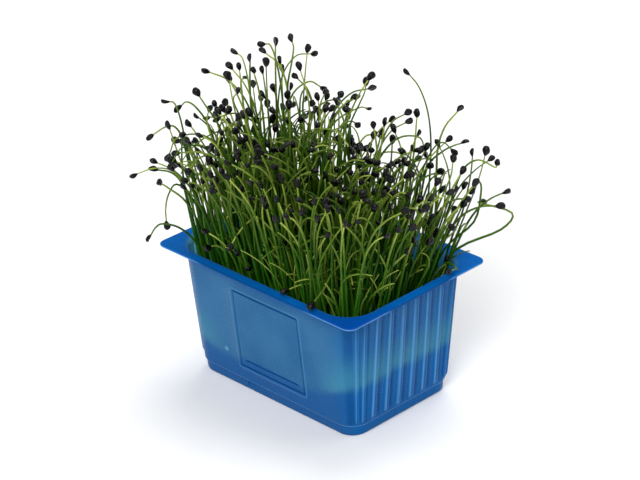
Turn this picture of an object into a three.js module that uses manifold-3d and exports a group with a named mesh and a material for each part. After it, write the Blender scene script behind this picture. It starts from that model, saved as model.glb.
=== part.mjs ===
// A tray of onion sprouts. A thin blue plastic tray holds a block of growing medium, and bunches
// of sprouts stand in it that still carry their black seed coats on their tips.
// Millimetres, +Z up. The origin is the middle of the tray's underside, and X runs along the tray.

import * as THREE from "three";
import { mergeVertices } from "three/addons/utils/BufferGeometryUtils.js";
import Module from "manifold-3d";

const wasm = await Module();
wasm.setup();

// ---------------------------------------------------------------- driving dimensions

// The tray. Its walls lean in from the rim to the base, and its rim is a flat shelf.
const RIM_LENGTH = 97;
const RIM_WIDTH = 69;
const RIM_SHELF = 4.4;
const RIM_CORNER = 3.5;
const TRAY_HEIGHT = 50.9;
const WALL = 0.8;
const TAPER = 4.7;
const TOP_CORNER = 11;
const BASE_CORNER = 7;
const FOOT_HEIGHT = 4.2;
const FOOT_STEP = 0.5;
const BASE_BEVEL = 0.9;
const RIM_BEVEL = 0.7;
const CORNER_STEPS = 6;
const LEAST_CORNER = 0.2;

// Upright ribs on both end walls, pressed out of the sheet. The outer two turn round each corner.
const RIB_PITCH = 6.3;
const RIBS_EACH_SIDE = 3;
const RIB_HALF_WIDTH = 1.3;
const CORNER_RIB_HALF_WIDTH = 0.8;
const CORNER_RIB_TURNS = [0.27, 0.56];
const RIB_DEPTH = 0.75;
const RIB_SINK = 0.15;
const RIB_BOTTOM = FOOT_HEIGHT + 2.4;
const RIB_TOP = TRAY_HEIGHT - 4;
const RIB_FADE = 1.3;
const RIB_ROOT = 0.4;
const RIB_HOLLOW_ROOT = 1.3;

// A plain moulded frame on one long wall, with a second line above its foot.
const PANEL_MIDDLE = 1;
const PANEL_HALF_LENGTH = 16;
const PANEL_BOTTOM = 10.4;
const PANEL_TOP = 41.7;
const PANEL_LINE_HEIGHT = 13.2;
const PANEL_LINE_INSET = 3;
const GROOVE_WIDTH = 0.7;
const GROOVE_DEPTH = 0.35;
const GROOVE_REACH = 1;

// The block of growing medium.
const GAP = 0.3;
const MEDIUM_TOP = 22;
const MEDIUM_SIDE_GAP = 0.5;
const MEDIUM_BEVEL = 1.2;

// Root plugs join the sprouts of one bunch below the surface of the medium.
const BUNCH_COLUMNS = 9;
const BUNCH_ROWS = 6;
const BUNCH_HALF_LENGTH = 36.3;
const BUNCH_HALF_WIDTH = 22.4;
const BUNCH_CORNER_PULL = 0.07;
const BUNCH_JITTER = 1.1;
const PLUG_RADIUS = 2.2;
const PLUG_TIP_RADIUS = 1.5;
const PLUG_HEIGHT = 6;
const PLUG_SINK = 0.5;
const PLUG_SIDES = 5;
const HOLE_RISE = 2;
const ROOT_CIRCLE = 1.1;
const ROOT_TURN = 2.1;
const ROOT_SINK = 1.5;
const ROOT_ROOM = 1.5;

// Sprouts and their seed coats.
const STEMS_PER_BUNCH = 4;
const STEM_RADIUS = 0.5;
const STEM_SIDES = 3;
const STEM_ROLL = 2.4;
const STEM_STEPS = [0.37, 0.28, 0.16, 0.11, 0.08];
const CURL_SHARES = [0, 0.04, 0.2, 0.6, 1];
const CURL_TURN = 1.6;
const STAND_OUT_SEGMENTS = 6;
const SEED_LENGTH = 3.8;
const SEED_SIDES = 4;
const SEED_RINGS = [
  { along: 0.3, halfWidth: 1.15, halfThickness: 0.75 },
  { along: 0.72, halfWidth: 1.4, halfThickness: 0.85 },
];
const SEED_REACH = 1.4;
const SEED_ROOM = 1;

// How far the tips turn over, in radians: some bend a little, more nod and others hook down.
const CURLS = [
  { share: 0.38, least: 0.15, most: 0.9 },
  { share: 0.39, least: 0.9, most: 1.9 },
  { share: 0.23, least: 1.9, most: 2.8 },
];

// The crown that the sprouts reach: highest in one hump, and lower towards the ends and the far
// corner. Sprouts at the near corner turn over less, and fan out sideways.
const CROWN_HEIGHT = 86;
const CROWN_HUMP = 28;
const CROWN_HUMP_AT = { side: -14, away: 17 };
const CROWN_HUMP_SPREAD = { side: 8, away: 16 };
const CROWN_END_FALL = 0.004;
const CROWN_EDGE_FALL = 0.15;
const CROWN_VARIATION = 7;
const UPRIGHT_FROM = 4;
const UPRIGHT_OVER = 18;
const UPRIGHT_SHARE = 0.6;
const FAN = 0.008;
const OVERHANG = 10;
const SHORT_SHARE = 0.05;
const SHORT_LEAST = 0.5;
const SHORT_MOST = 0.85;
const LEAN_ALONG = 0.11;
const LEAN_ACROSS = 0.12;
const LEAN_VARIATION = 0.09;

// Room kept between sprouts of different bunches, and between sprouts and tray.
const CLEARANCE = 0.35;
const SAMPLE_SPACING = 1;
const SEED_SAMPLES = [0, 0.25, 0.5, 0.75];
const SHARED_HEIGHT = MEDIUM_TOP + 12;
const CELL = 2;
const CELLS_AROUND = 2;
const TRIES = 150;
const NUDGE_PER_TRY = 0.067;
const NUDGE_RISE = 0.33;
const SEED_NUMBER = 20931;
const MERGE_TOLERANCE = 1e-4;

// Sprouts that stand out of the crown, or hang over the rim. Each has its root and the places that
// it passes, up to the middle of its seed, as [side, away, up]. Side and away are measured along and
// across the diagonal from which the tray shows a long and a ribbed wall.
const DIAGONAL = 0.8;
const STAND_OUT_STEMS = [
  // arching out over the left corner
  { root: [-39, 11], path: [[-44, 10, 50], [-46.5, 9, 68], [-49, 8, 79], [-56, 7, 82.5], [-65, 6, 80.5]] },
  { root: [-39, 14], path: [[-44, 14, 52], [-46.5, 14, 67], [-50, 14, 76], [-58, 14, 79]] },
  { root: [-36, 7], path: [[-43, 5, 60], [-48, 4, 80], [-57, 2, 88]] },
  { root: [-36, 16], path: [[-42, 17, 60], [-47, 17, 88], [-51, 17, 94], [-59, 17, 90]] },
  { root: [-33, 10], path: [[-40, 12, 60], [-45.5, 12, 88], [-48, 12, 103], [-52, 12, 107]] },
  { root: [-37, 5], path: [[-41, 3, 46], [-46, 4, 57], [-53, 6, 61], [-58, 8, 59], [-61, 9, 54]] },
  { root: [-36, 20], path: [[-42, 18, 58], [-50, 15, 72], [-54, 13, 66], [-54.5, 12, 57]] },
  { root: [-26, 12], path: [[-28, 11, 70], [-33, 11, 94], [-37, 11, 102], [-41, 12, 109]] },
  { root: [-30, 22], path: [[-34, 24, 70], [-38, 25, 90], [-44, 25, 99], [-49, 24, 98]] },
  // the tall hump
  { root: [-19, 10], path: [[-21, 12, 70], [-24, 12, 98], [-30, 14, 114]] },
  { root: [-15, 14], path: [[-18, 14, 75], [-21, 14, 100], [-23.5, 15, 117], [-27, 16, 123]] },
  { root: [-20, 20], path: [[-21, 19, 75], [-22.5, 18, 102], [-22, 18, 119]] },
  { root: [-23, 18], path: [[-24, 18, 75], [-25, 18, 100], [-26, 18, 116]] },
  { root: [-11, 20], path: [[-10.5, 19, 75], [-11.5, 18, 106], [-14, 19, 121], [-18, 20, 124]] },
  { root: [-13, 27], path: [[-13, 25, 75], [-13.5, 24, 105], [-13, 24, 122]] },
  { root: [-6, 18], path: [[-8, 18, 75], [-9.5, 19, 106], [-8.5, 20, 118], [-6.5, 22, 123]] },
  { root: [-2, 12], path: [[-3, 14, 75], [-2, 16, 100], [-5, 18, 115]] },
  { root: [-10, 30], path: [[-10, 28, 70], [-9, 28, 96], [-12, 29, 113]] },
  // the middle of the crown
  { root: [2, 8], path: [[3, 9, 65], [2.5, 10, 90], [1, 12, 106]] },
  { root: [0, 5], path: [[1, 7, 65], [4, 8, 92], [9, 9, 102], [14, 11, 106]] },
  { root: [5, 11], path: [[6, 12, 65], [10, 12, 92], [15, 13, 104], [20, 14, 112]] },
  { root: [8, 16], path: [[8, 16, 65], [12, 16, 92], [17.5, 16, 103], [18, 16, 109]] },
  { root: [17, 0], path: [[18, 0, 65], [21, 0, 86], [20, 0, 100]] },
  // the right end
  {
    root: [39, -12],
    path: [
      [44, -11, 47], [53, -10.5, 56.5], [62, -10, 61], [65, -9, 68], [60, -8, 74], [55, -8, 73],
    ],
  },
  {
    root: [36, -16],
    path: [
      [41, -18, 48], [45, -19, 54.5], [48.5, -19.5, 53.5], [46.5, -21, 52.6], [42.5, -22, 53.2],
    ],
  },
  { root: [34, 3], path: [[38, 4, 60], [40, 4, 84], [39.5, 5, 99], [36.5, 5, 110], [32, 6, 117]] },
  { root: [32, -1], path: [[38, -1, 55], [41.5, 0, 78], [43, 0, 94], [50, 0, 105]] },
  { root: [38, -5], path: [[44, -6, 50], [50, -6, 67], [53, -6, 81], [54, -6, 91]] },
  { root: [39, -9], path: [[44.5, -9, 50], [50.5, -8, 66], [55.5, -8, 80], [58.5, -8, 92]] },
  { root: [37, -2], path: [[43, -2, 54], [49, -3, 76], [54, -4, 87], [60, -5, 84], [64, -6, 86]] },
  { root: [30, 4], path: [[34, 4, 55], [38.5, 3, 81], [46, 1, 89], [52, 0, 92]] },
  { root: [26, -6], path: [[30, -7, 55], [36, -8, 84], [42, -9, 96], [48, -10, 93]] },
  // over the front rim
  { root: [4, -27], path: [[4, -29, 47], [0, -30, 53.4], [-6, -31, 54.6], [-13, -32.5, 53]] },
  {
    root: [12, -32],
    path: [
      [17, -33, 50], [18, -33, 64], [13.6, -34, 67.7], [3.6, -38, 62.6], [-0.5, -41, 57],
      [-1.8, -43, 53],
    ],
  },
  {
    root: [-15, -7],
    path: [
      [-16, -9, 50], [-18, -11, 68], [-23, -13, 71], [-27.5, -13.5, 67], [-31.5, -14, 61],
    ],
  },
  { root: [14, -38], path: [[16, -39, 50], [20, -40, 72], [16, -41, 84], [9, -41, 82]] },
  { root: [26, -22], path: [[31, -23, 50], [36, -24, 68], [41, -24, 76], [46, -24, 71]] },
  // more of the crown's edge
  { root: [-35, 13], path: [[-41, 13, 60], [-46, 12, 82], [-52, 12, 97]] },
  { root: [-9, 24], path: [[-10, 23, 75], [-11.5, 22, 105], [-12.7, 22, 124]] },
  { root: [-17, 17], path: [[-19, 17, 75], [-20, 16, 100], [-21.7, 16, 116]] },
  { root: [-8, 14], path: [[-8.5, 14, 70], [-9, 14, 92], [-9.4, 14, 106]] },
  { root: [20, 8], path: [[21, 8, 60], [22, 8, 82], [24.3, 8, 97]] },
  { root: [28, 6], path: [[31, 6, 60], [34, 6, 85], [35.5, 6, 101]] },
  { root: [32, 3], path: [[37, 3, 55], [41, 3, 76], [43.8, 3, 92]] },
  { root: [38, -7], path: [[46, -7, 52], [53, -8, 70], [57.5, -8, 80], [60.9, -8, 78]] },
];

// ---------------------------------------------------------------- numbers and outlines

// The same draws every time.
function seededRandom(seed) {
  let state = seed >>> 0;
  return () => {
    state = (state + 0x6d2b79f5) >>> 0;
    let mixed = Math.imul(state ^ (state >>> 15), state | 1);
    mixed ^= mixed + Math.imul(mixed ^ (mixed >>> 7), mixed | 61);
    return ((mixed ^ (mixed >>> 14)) >>> 0) / 4294967296;
  };
}

const between = (random, low, high) => low + (high - low) * random();
const spread = (random, size) => size * (random() + random() + random() - 1.5);

const toSide = (x, y) => x * Math.cos(DIAGONAL) + y * Math.sin(DIAGONAL);
const toAway = (x, y) => y * Math.cos(DIAGONAL) - x * Math.sin(DIAGONAL);

function fromDiagonal([side, away, up]) {
  const x = side * Math.cos(DIAGONAL) - away * Math.sin(DIAGONAL);
  const y = side * Math.sin(DIAGONAL) + away * Math.cos(DIAGONAL);
  return new THREE.Vector3(x, y, up);
}

const leanIn = (z) => TAPER * (1 - z / TRAY_HEIGHT);
const outerHalfLength = (z) => RIM_LENGTH / 2 - RIM_SHELF - leanIn(z);
const outerHalfWidth = (z) => RIM_WIDTH / 2 - RIM_SHELF - leanIn(z);
const outerCorner = (z) => THREE.MathUtils.lerp(BASE_CORNER, TOP_CORNER, z / TRAY_HEIGHT);

// One level of the tray: the outer outline at height z, grown by `grow`.
function levelOutline(z, grow, at = z) {
  const radius = Math.max(outerCorner(z) + grow, LEAST_CORNER);
  return roundedRectangle(outerHalfLength(z) + grow, outerHalfWidth(z) + grow, radius, at);
}

// Counter-clockwise, with the same number of points at every size.
function roundedRectangle(halfLength, halfWidth, radius, z) {
  const points = [];
  for (let corner = 0; corner < 4; corner += 1) {
    const middleX = (halfLength - radius) * (corner === 0 || corner === 3 ? 1 : -1);
    const middleY = (halfWidth - radius) * (corner < 2 ? 1 : -1);
    for (let step = 0; step <= CORNER_STEPS; step += 1) {
      const angle = (corner + step / CORNER_STEPS) * (Math.PI / 2);
      const x = middleX + radius * Math.cos(angle);
      const y = middleY + radius * Math.sin(angle);
      points.push(new THREE.Vector3(x, y, z));
    }
  }
  return points;
}

function regularOutline(x, y, z, radius, sides) {
  return Array.from({ length: sides }, (_, k) => {
    const angle = (k / sides) * Math.PI * 2;
    return new THREE.Vector3(x + radius * Math.cos(angle), y + radius * Math.sin(angle), z);
  });
}

// ---------------------------------------------------------------- solids

// Triangles between two rings that may have different counts, both starting at the same angle.
function stitch(triangles, lower, upper) {
  let i = 0;
  let j = 0;
  while (i < lower.length || j < upper.length) {
    const a = lower[i % lower.length];
    const b = upper[j % upper.length];
    const lowerIsBehind = i < lower.length && (i + 1) / lower.length <= (j + 1) / upper.length;
    if (j >= upper.length || lowerIsBehind) {
      i += 1;
      triangles.push(a, lower[i % lower.length], b);
    } else {
      j += 1;
      triangles.push(a, upper[j % upper.length], b);
    }
  }
}

function fan(triangles, ring, facesUp) {
  for (let k = 1; k < ring.length - 1; k += 1) {
    if (facesUp) triangles.push(ring[0], ring[k], ring[k + 1]);
    else triangles.push(ring[0], ring[k + 1], ring[k]);
  }
}

// A closed solid through counter-clockwise rings, from the lowest or first one to the last.
function loft(rings) {
  const triangles = [];
  fan(triangles, rings[0], false);
  for (let k = 0; k < rings.length - 1; k += 1) stitch(triangles, rings[k], rings[k + 1]);
  fan(triangles, rings[rings.length - 1], true);
  return new THREE.BufferGeometry().setFromPoints(triangles);
}

function toSolid(geometry) {
  const bare = geometry.index ? geometry.toNonIndexed() : geometry.clone();
  bare.deleteAttribute("normal");
  bare.deleteAttribute("uv");
  const merged = mergeVertices(bare, MERGE_TOLERANCE);
  return new wasm.Manifold(
    new wasm.Mesh({
      numProp: 3,
      vertProperties: merged.attributes.position.array,
      triVerts: new Uint32Array(merged.index.array),
    }),
  );
}

function toGeometry(solid) {
  const mesh = solid.getMesh();
  const geometry = new THREE.BufferGeometry();
  geometry.setAttribute("position", new THREE.BufferAttribute(mesh.vertProperties, 3));
  geometry.setIndex(new THREE.BufferAttribute(mesh.triVerts, 1));
  geometry.computeVertexNormals();
  return geometry;
}

// ---------------------------------------------------------------- tray

// One rib along the wall, from a foot at one depth to a crest that stands RIB_DEPTH proud of a face.
// `place(z, proud, aside)` gives a point by its height, how proud of the wall it is, and how far
// aside it is along the wall.
function rib(place, halfWidth, foot, face) {
  const ring = (z, crest) =>
    [
      [-halfWidth, foot],
      [-halfWidth / 2, crest],
      [halfWidth / 2, crest],
      [halfWidth, foot],
    ].map(([aside, proud]) => place(z, proud, aside));
  return toSolid(
    loft([
      ring(RIB_BOTTOM - RIB_FADE, face - RIB_SINK),
      ring(RIB_BOTTOM, face + RIB_DEPTH),
      ring(RIB_TOP, face + RIB_DEPTH),
      ring(RIB_TOP + RIB_FADE, face - RIB_SINK),
    ]),
  );
}

// Where each rib stands, on the end wall at +X or -X: straight ones by their place across the
// wall, and those on the corners by how far they turn round it.
function ribPlaces() {
  const places = [];
  for (const end of [1, -1]) {
    for (let k = -RIBS_EACH_SIDE; k < RIBS_EACH_SIDE; k += 1) {
      const across = (k + 0.5) * RIB_PITCH;
      const place = (z, proud, aside) =>
        new THREE.Vector3(end * (outerHalfLength(z) + proud), across + end * aside, z);
      places.push({ place, halfWidth: RIB_HALF_WIDTH, straight: true });
    }
    for (const side of [1, -1]) {
      for (const turn of CORNER_RIB_TURNS) {
        const place = (z, proud, aside) => {
          const radius = outerCorner(z);
          const angle = side * turn + (end * aside) / radius;
          const x = outerHalfLength(z) - radius + (radius + proud) * Math.cos(angle);
          const y = (radius + proud) * Math.sin(angle) + side * (outerHalfWidth(z) - radius);
          return new THREE.Vector3(end * x, y, z);
        };
        places.push({ place, halfWidth: CORNER_RIB_HALF_WIDTH, straight: false });
      }
    }
  }
  return places;
}

// A groove in the long wall at -Y, between two corners given as x and z.
function groove(x0, z0, x1, z1) {
  const ring = (z) => {
    const face = -outerHalfWidth(z);
    return [
      new THREE.Vector3(x0, face - GROOVE_REACH, z),
      new THREE.Vector3(x1, face - GROOVE_REACH, z),
      new THREE.Vector3(x1, face + GROOVE_DEPTH, z),
      new THREE.Vector3(x0, face + GROOVE_DEPTH, z),
    ];
  };
  return toSolid(loft([ring(z0), ring(z1)]));
}

function panelGrooves() {
  const left = PANEL_MIDDLE - PANEL_HALF_LENGTH;
  const right = PANEL_MIDDLE + PANEL_HALF_LENGTH;
  const half = GROOVE_WIDTH / 2;
  const lineLeft = left + PANEL_LINE_INSET;
  const lineRight = right - PANEL_LINE_INSET;
  return [
    groove(left - half, PANEL_BOTTOM - half, left + half, PANEL_TOP + half),
    groove(right - half, PANEL_BOTTOM - half, right + half, PANEL_TOP + half),
    groove(left - half, PANEL_BOTTOM - half, right + half, PANEL_BOTTOM + half),
    groove(left - half, PANEL_TOP - half, right + half, PANEL_TOP + half),
    groove(lineLeft, PANEL_LINE_HEIGHT - half, lineRight, PANEL_LINE_HEIGHT + half),
  ];
}

function tray() {
  const underRim = TRAY_HEIGHT - WALL;
  const rimOutline = (z) => roundedRectangle(RIM_LENGTH / 2, RIM_WIDTH / 2, RIM_CORNER, z);
  const outside = toSolid(
    loft([
      levelOutline(0, -FOOT_STEP - BASE_BEVEL, 0),
      levelOutline(BASE_BEVEL, -FOOT_STEP),
      levelOutline(FOOT_HEIGHT, -FOOT_STEP),
      levelOutline(FOOT_HEIGHT + FOOT_STEP / 2, 0),
      levelOutline(underRim - RIM_BEVEL, 0),
      levelOutline(underRim, RIM_BEVEL),
      rimOutline(underRim),
      rimOutline(TRAY_HEIGHT),
    ]),
  );
  const innerStep = FOOT_HEIGHT + WALL / 4;
  const inside = toSolid(
    loft([
      levelOutline(WALL, -FOOT_STEP - BASE_BEVEL - WALL / 2),
      levelOutline(WALL + BASE_BEVEL, -FOOT_STEP - WALL),
      levelOutline(innerStep, -FOOT_STEP - WALL),
      levelOutline(innerStep + FOOT_STEP / 2, -WALL),
      levelOutline(TRAY_HEIGHT - RIM_BEVEL, -WALL),
      levelOutline(TRAY_HEIGHT, RIM_BEVEL - WALL),
      levelOutline(TRAY_HEIGHT, RIM_BEVEL - WALL, TRAY_HEIGHT + WALL),
    ]),
  );
  const ribs = ribPlaces();
  let solid = outside;
  for (const { place, halfWidth } of ribs) {
    solid = solid.add(rib(place, halfWidth, -RIB_ROOT, 0));
  }
  solid = solid.subtract(inside);
  for (const { place, halfWidth } of ribs.filter(({ straight }) => straight)) {
    solid = solid.subtract(rib(place, halfWidth, -RIB_HOLLOW_ROOT, -WALL));
  }
  for (const cut of panelGrooves()) solid = solid.subtract(cut);
  return toGeometry(solid);
}

// ---------------------------------------------------------------- bunches and growing medium

// The middles of the root plugs, in staggered rows that draw in at the corners.
function bunchPlaces(random) {
  const places = [];
  for (let row = 0; row < BUNCH_ROWS; row += 1) {
    for (let column = 0; column < BUNCH_COLUMNS; column += 1) {
      const u = (2 * column) / (BUNCH_COLUMNS - 1) - 1;
      const v = (2 * row) / (BUNCH_ROWS - 1) - 1;
      const x = BUNCH_HALF_LENGTH * u * (1 - BUNCH_CORNER_PULL * v * v);
      const y = BUNCH_HALF_WIDTH * v * (1 - BUNCH_CORNER_PULL * u * u);
      const free = 1 - Math.max(Math.abs(u), Math.abs(v));
      const jitterX = between(random, -1, 1) * BUNCH_JITTER * (Math.abs(u) < 1 ? 1 : free);
      const jitterY = between(random, -1, 1) * BUNCH_JITTER * (Math.abs(v) < 1 ? 1 : free);
      places.push({ x: x + jitterX, y: y + jitterY });
    }
  }
  return places;
}

function rootPlug({ x, y }) {
  const top = MEDIUM_TOP - PLUG_SINK;
  return toSolid(
    loft([
      regularOutline(x, y, top - PLUG_HEIGHT, PLUG_TIP_RADIUS, PLUG_SIDES),
      regularOutline(x, y, top, PLUG_RADIUS, PLUG_SIDES),
    ]),
  );
}

function growingMedium(places) {
  const inset = -WALL - MEDIUM_SIDE_GAP;
  const footInset = inset - FOOT_STEP;
  const floor = WALL + GAP;
  const footTop = FOOT_HEIGHT + WALL;
  let solid = toSolid(
    loft([
      levelOutline(floor, footInset - BASE_BEVEL),
      levelOutline(floor + BASE_BEVEL, footInset),
      levelOutline(footTop, footInset),
      levelOutline(footTop + FOOT_STEP, inset),
      levelOutline(MEDIUM_TOP - MEDIUM_BEVEL, inset),
      levelOutline(MEDIUM_TOP, inset - MEDIUM_BEVEL),
    ]),
  );
  const acrossFlats = Math.cos(Math.PI / PLUG_SIDES);
  const room = GAP / acrossFlats;
  const bottom = MEDIUM_TOP - PLUG_SINK - PLUG_HEIGHT - GAP;
  const flare = (PLUG_RADIUS - PLUG_TIP_RADIUS) / PLUG_HEIGHT;
  const mouthRadius = PLUG_RADIUS + room + flare * HOLE_RISE;
  for (const { x, y } of places) {
    const hole = loft([
      regularOutline(x, y, bottom, PLUG_TIP_RADIUS + room, PLUG_SIDES),
      regularOutline(x, y, MEDIUM_TOP - PLUG_SINK + HOLE_RISE, mouthRadius, PLUG_SIDES),
    ]);
    solid = solid.subtract(toSolid(hole));
  }
  return toGeometry(solid);
}

// ---------------------------------------------------------------- how a sprout grows

function crownHeight(x, y) {
  const side = toSide(x, y);
  const away = toAway(x, y);
  const sideways = (side - CROWN_HUMP_AT.side) / CROWN_HUMP_SPREAD.side;
  const backwards = (away - CROWN_HUMP_AT.away) / CROWN_HUMP_SPREAD.away;
  const hump = CROWN_HUMP * Math.exp(-(sideways * sideways + backwards * backwards) / 2);
  const fall = CROWN_END_FALL * side * side + CROWN_EDGE_FALL * Math.max(away, 0);
  return CROWN_HEIGHT + hump - fall;
}

// How far the tip of one sprout turns over.
function drawCurl(random) {
  let left = random();
  for (const { share, least, most } of CURLS) {
    if (left < share) return between(random, least, most);
    left -= share;
  }
  return CURLS[0].least;
}

// A sprout's points, from its root to its seed: it leans out towards the nearest wall, and its
// heading turns towards the tip.
function growStem(root, random) {
  const nearer = UPRIGHT_FROM - toAway(root.x, root.y);
  const upright = THREE.MathUtils.clamp(nearer / UPRIGHT_OVER, 0, 1);
  const fan = FAN * upright * toSide(root.x, root.y);
  const outX = (LEAN_ALONG * root.x) / BUNCH_HALF_LENGTH + fan * Math.cos(DIAGONAL);
  const outY = (LEAN_ACROSS * root.y) / BUNCH_HALF_WIDTH + fan * Math.sin(DIAGONAL);
  const leanX = outX + spread(random, LEAN_VARIATION);
  const leanY = outY + spread(random, LEAN_VARIATION);
  const lean = Math.hypot(leanX, leanY);
  const leanTowards = Math.atan2(leanY, leanX);
  const curl = drawCurl(random) * (1 - UPRIGHT_SHARE * upright);
  const curlTowards = leanTowards + spread(random, CURL_TURN);
  let top = crownHeight(root.x, root.y) + spread(random, CROWN_VARIATION);
  if (random() < SHORT_SHARE) {
    top = THREE.MathUtils.lerp(MEDIUM_TOP, top, between(random, SHORT_LEAST, SHORT_MOST));
  }
  const headings = STEM_STEPS.map((share, k) => {
    const tilt = lean + curl * CURL_SHARES[k];
    const towards = leanTowards + (curlTowards - leanTowards) * CURL_SHARES[k];
    return new THREE.Vector3(
      share * Math.sin(tilt) * Math.cos(towards),
      share * Math.sin(tilt) * Math.sin(towards),
      share * Math.cos(tilt),
    );
  });
  let rise = 0;
  let highest = 0;
  for (const heading of headings) {
    rise += heading.z;
    highest = Math.max(highest, rise);
  }
  const length = (top - root.z) / highest;
  const points = [root.clone()];
  for (const heading of headings) {
    points.push(points[points.length - 1].clone().addScaledVector(heading, length));
  }
  return points;
}

// A point on the smooth curve that passes through all places, with t from 0 to their count less 1.
function alongPlaces(places, t) {
  const k = Math.min(Math.floor(t), places.length - 2);
  const u = t - k;
  const b = places[k];
  const c = places[k + 1];
  const a = places[k - 1] ?? b.clone().multiplyScalar(2).sub(c);
  const d = places[k + 2] ?? c.clone().multiplyScalar(2).sub(b);
  const weights = [
    -0.5 * u + u * u - 0.5 * u * u * u,
    1 - 2.5 * u * u + 1.5 * u * u * u,
    0.5 * u + 2 * u * u - 1.5 * u * u * u,
    -0.5 * u * u + 0.5 * u * u * u,
  ];
  return new THREE.Vector3()
    .addScaledVector(a, weights[0])
    .addScaledVector(b, weights[1])
    .addScaledVector(c, weights[2])
    .addScaledVector(d, weights[3]);
}

// A stand-out sprout's points. `nudge` moves the places that it passes, to bend it clear.
function standOutStem(root, path, nudge, random) {
  const places = [root];
  for (const place of path) {
    const shiftX = spread(random, nudge);
    const shiftY = spread(random, nudge);
    const shiftZ = spread(random, nudge * NUDGE_RISE);
    places.push(fromDiagonal(place).add(new THREE.Vector3(shiftX, shiftY, shiftZ)));
  }
  const last = places.length - 1;
  const pullBack = SEED_LENGTH / 2 / places[last].distanceTo(places[last - 1]);
  places[last].lerp(places[last - 1], pullBack);
  return Array.from({ length: STAND_OUT_SEGMENTS + 1 }, (_, k) =>
    alongPlaces(places, (k / STAND_OUT_SEGMENTS) * last),
  );
}

// ---------------------------------------------------------------- room for each sprout

// The distance from a point to the tray's inside face at its height, negative inside.
function outsideBy({ x, y, z }) {
  const height = Math.min(z, TRAY_HEIGHT);
  const radius = outerCorner(height) - WALL;
  const beyondX = Math.abs(x) - (outerHalfLength(height) - WALL - radius);
  const beyondY = Math.abs(y) - (outerHalfWidth(height) - WALL - radius);
  const outer = Math.hypot(Math.max(beyondX, 0), Math.max(beyondY, 0));
  return outer + Math.min(Math.max(beyondX, beyondY), 0) - radius;
}

// Points about a millimetre apart along the sprout and its seed, each with the sprout's radius.
function samples(points) {
  const found = [];
  for (let k = 0; k < points.length - 1; k += 1) {
    const count = Math.ceil(points[k].distanceTo(points[k + 1]) / SAMPLE_SPACING);
    for (let step = 0; step < count; step += 1) {
      const at = points[k].clone().lerp(points[k + 1], step / count);
      found.push({ at, radius: STEM_RADIUS });
    }
  }
  const tip = points[points.length - 1];
  const heading = tip.clone().sub(points[points.length - 2]).normalize();
  for (const along of SEED_SAMPLES) {
    const at = tip.clone().addScaledVector(heading, along * SEED_LENGTH);
    found.push({ at, radius: SEED_REACH });
  }
  return found;
}

function clearOfTray(found) {
  return found.every(({ at, radius }) => {
    const room = radius + CLEARANCE;
    const inside = outsideBy(at) < -room;
    const above = at.z > TRAY_HEIGHT + room;
    const buried = at.z < MEDIUM_TOP + SEED_ROOM && radius > STEM_RADIUS;
    return (inside || above) && !buried;
  });
}

// How far a sprout's tip is outside the rim, seen from above.
function overhangOf(points) {
  const { x, y } = points[points.length - 1];
  return Math.max(Math.abs(x) - RIM_LENGTH / 2, Math.abs(y) - RIM_WIDTH / 2);
}

// Where a sprout leaves the medium, it is clear of the edge of its hole.
function clearOfHole([root, next], { x, y }) {
  const leaving = root.clone().lerp(next, (MEDIUM_TOP - root.z) / (next.z - root.z));
  return Math.hypot(leaving.x - x, leaving.y - y) < ROOT_ROOM;
}

// Remembers where the accepted sprouts are, by cells of space.
class Thicket {
  constructor() {
    this.cells = new Map();
  }

  cellOf({ x, y, z }) {
    return [Math.floor(x / CELL), Math.floor(y / CELL), Math.floor(z / CELL)];
  }

  add(found, bunch) {
    for (const { at, radius } of found) {
      const key = this.cellOf(at).join();
      if (!this.cells.has(key)) this.cells.set(key, []);
      this.cells.get(key).push({ at, radius, bunch });
    }
  }

  // Sprouts of one bunch may meet near their common root.
  crowded(found, bunch) {
    return found.some(({ at, radius }) => {
      const [cx, cy, cz] = this.cellOf(at);
      for (let i = cx - CELLS_AROUND; i <= cx + CELLS_AROUND; i += 1) {
        for (let j = cy - CELLS_AROUND; j <= cy + CELLS_AROUND; j += 1) {
          for (let k = cz - CELLS_AROUND; k <= cz + CELLS_AROUND; k += 1) {
            const others = this.cells.get([i, j, k].join()) ?? [];
            for (const other of others) {
              const related = other.bunch === bunch && at.z < SHARED_HEIGHT;
              const room = radius + other.radius + CLEARANCE;
              if (!related && other.at.distanceTo(at) < room) return true;
            }
          }
        }
      }
      return false;
    });
  }
}

// ---------------------------------------------------------------- sprout solids

// Rings round each point, each turned from the one before by the least that the bend needs.
function stemRings(points, roll) {
  const last = points.length - 1;
  const tangentAt = (k) =>
    points[Math.min(k + 1, last)].clone().sub(points[Math.max(k - 1, 0)]).normalize();
  let tangent = tangentAt(0);
  const across = new THREE.Vector3(Math.cos(roll), Math.sin(roll), 0);
  across.addScaledVector(tangent, -across.dot(tangent)).normalize();
  const frames = [];
  points.forEach((point, k) => {
    const next = tangentAt(k);
    across.applyQuaternion(new THREE.Quaternion().setFromUnitVectors(tangent, next));
    tangent = next;
    frames.push({ point, tangent, across: across.clone(), up: next.clone().cross(across) });
  });
  return frames;
}

function ringAround({ point, across, up }, halfWidth, halfThickness, sides) {
  return Array.from({ length: sides }, (_, k) => {
    const angle = (k / sides) * Math.PI * 2;
    return point
      .clone()
      .addScaledVector(across, halfWidth * Math.cos(angle))
      .addScaledVector(up, halfThickness * Math.sin(angle));
  });
}

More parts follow.
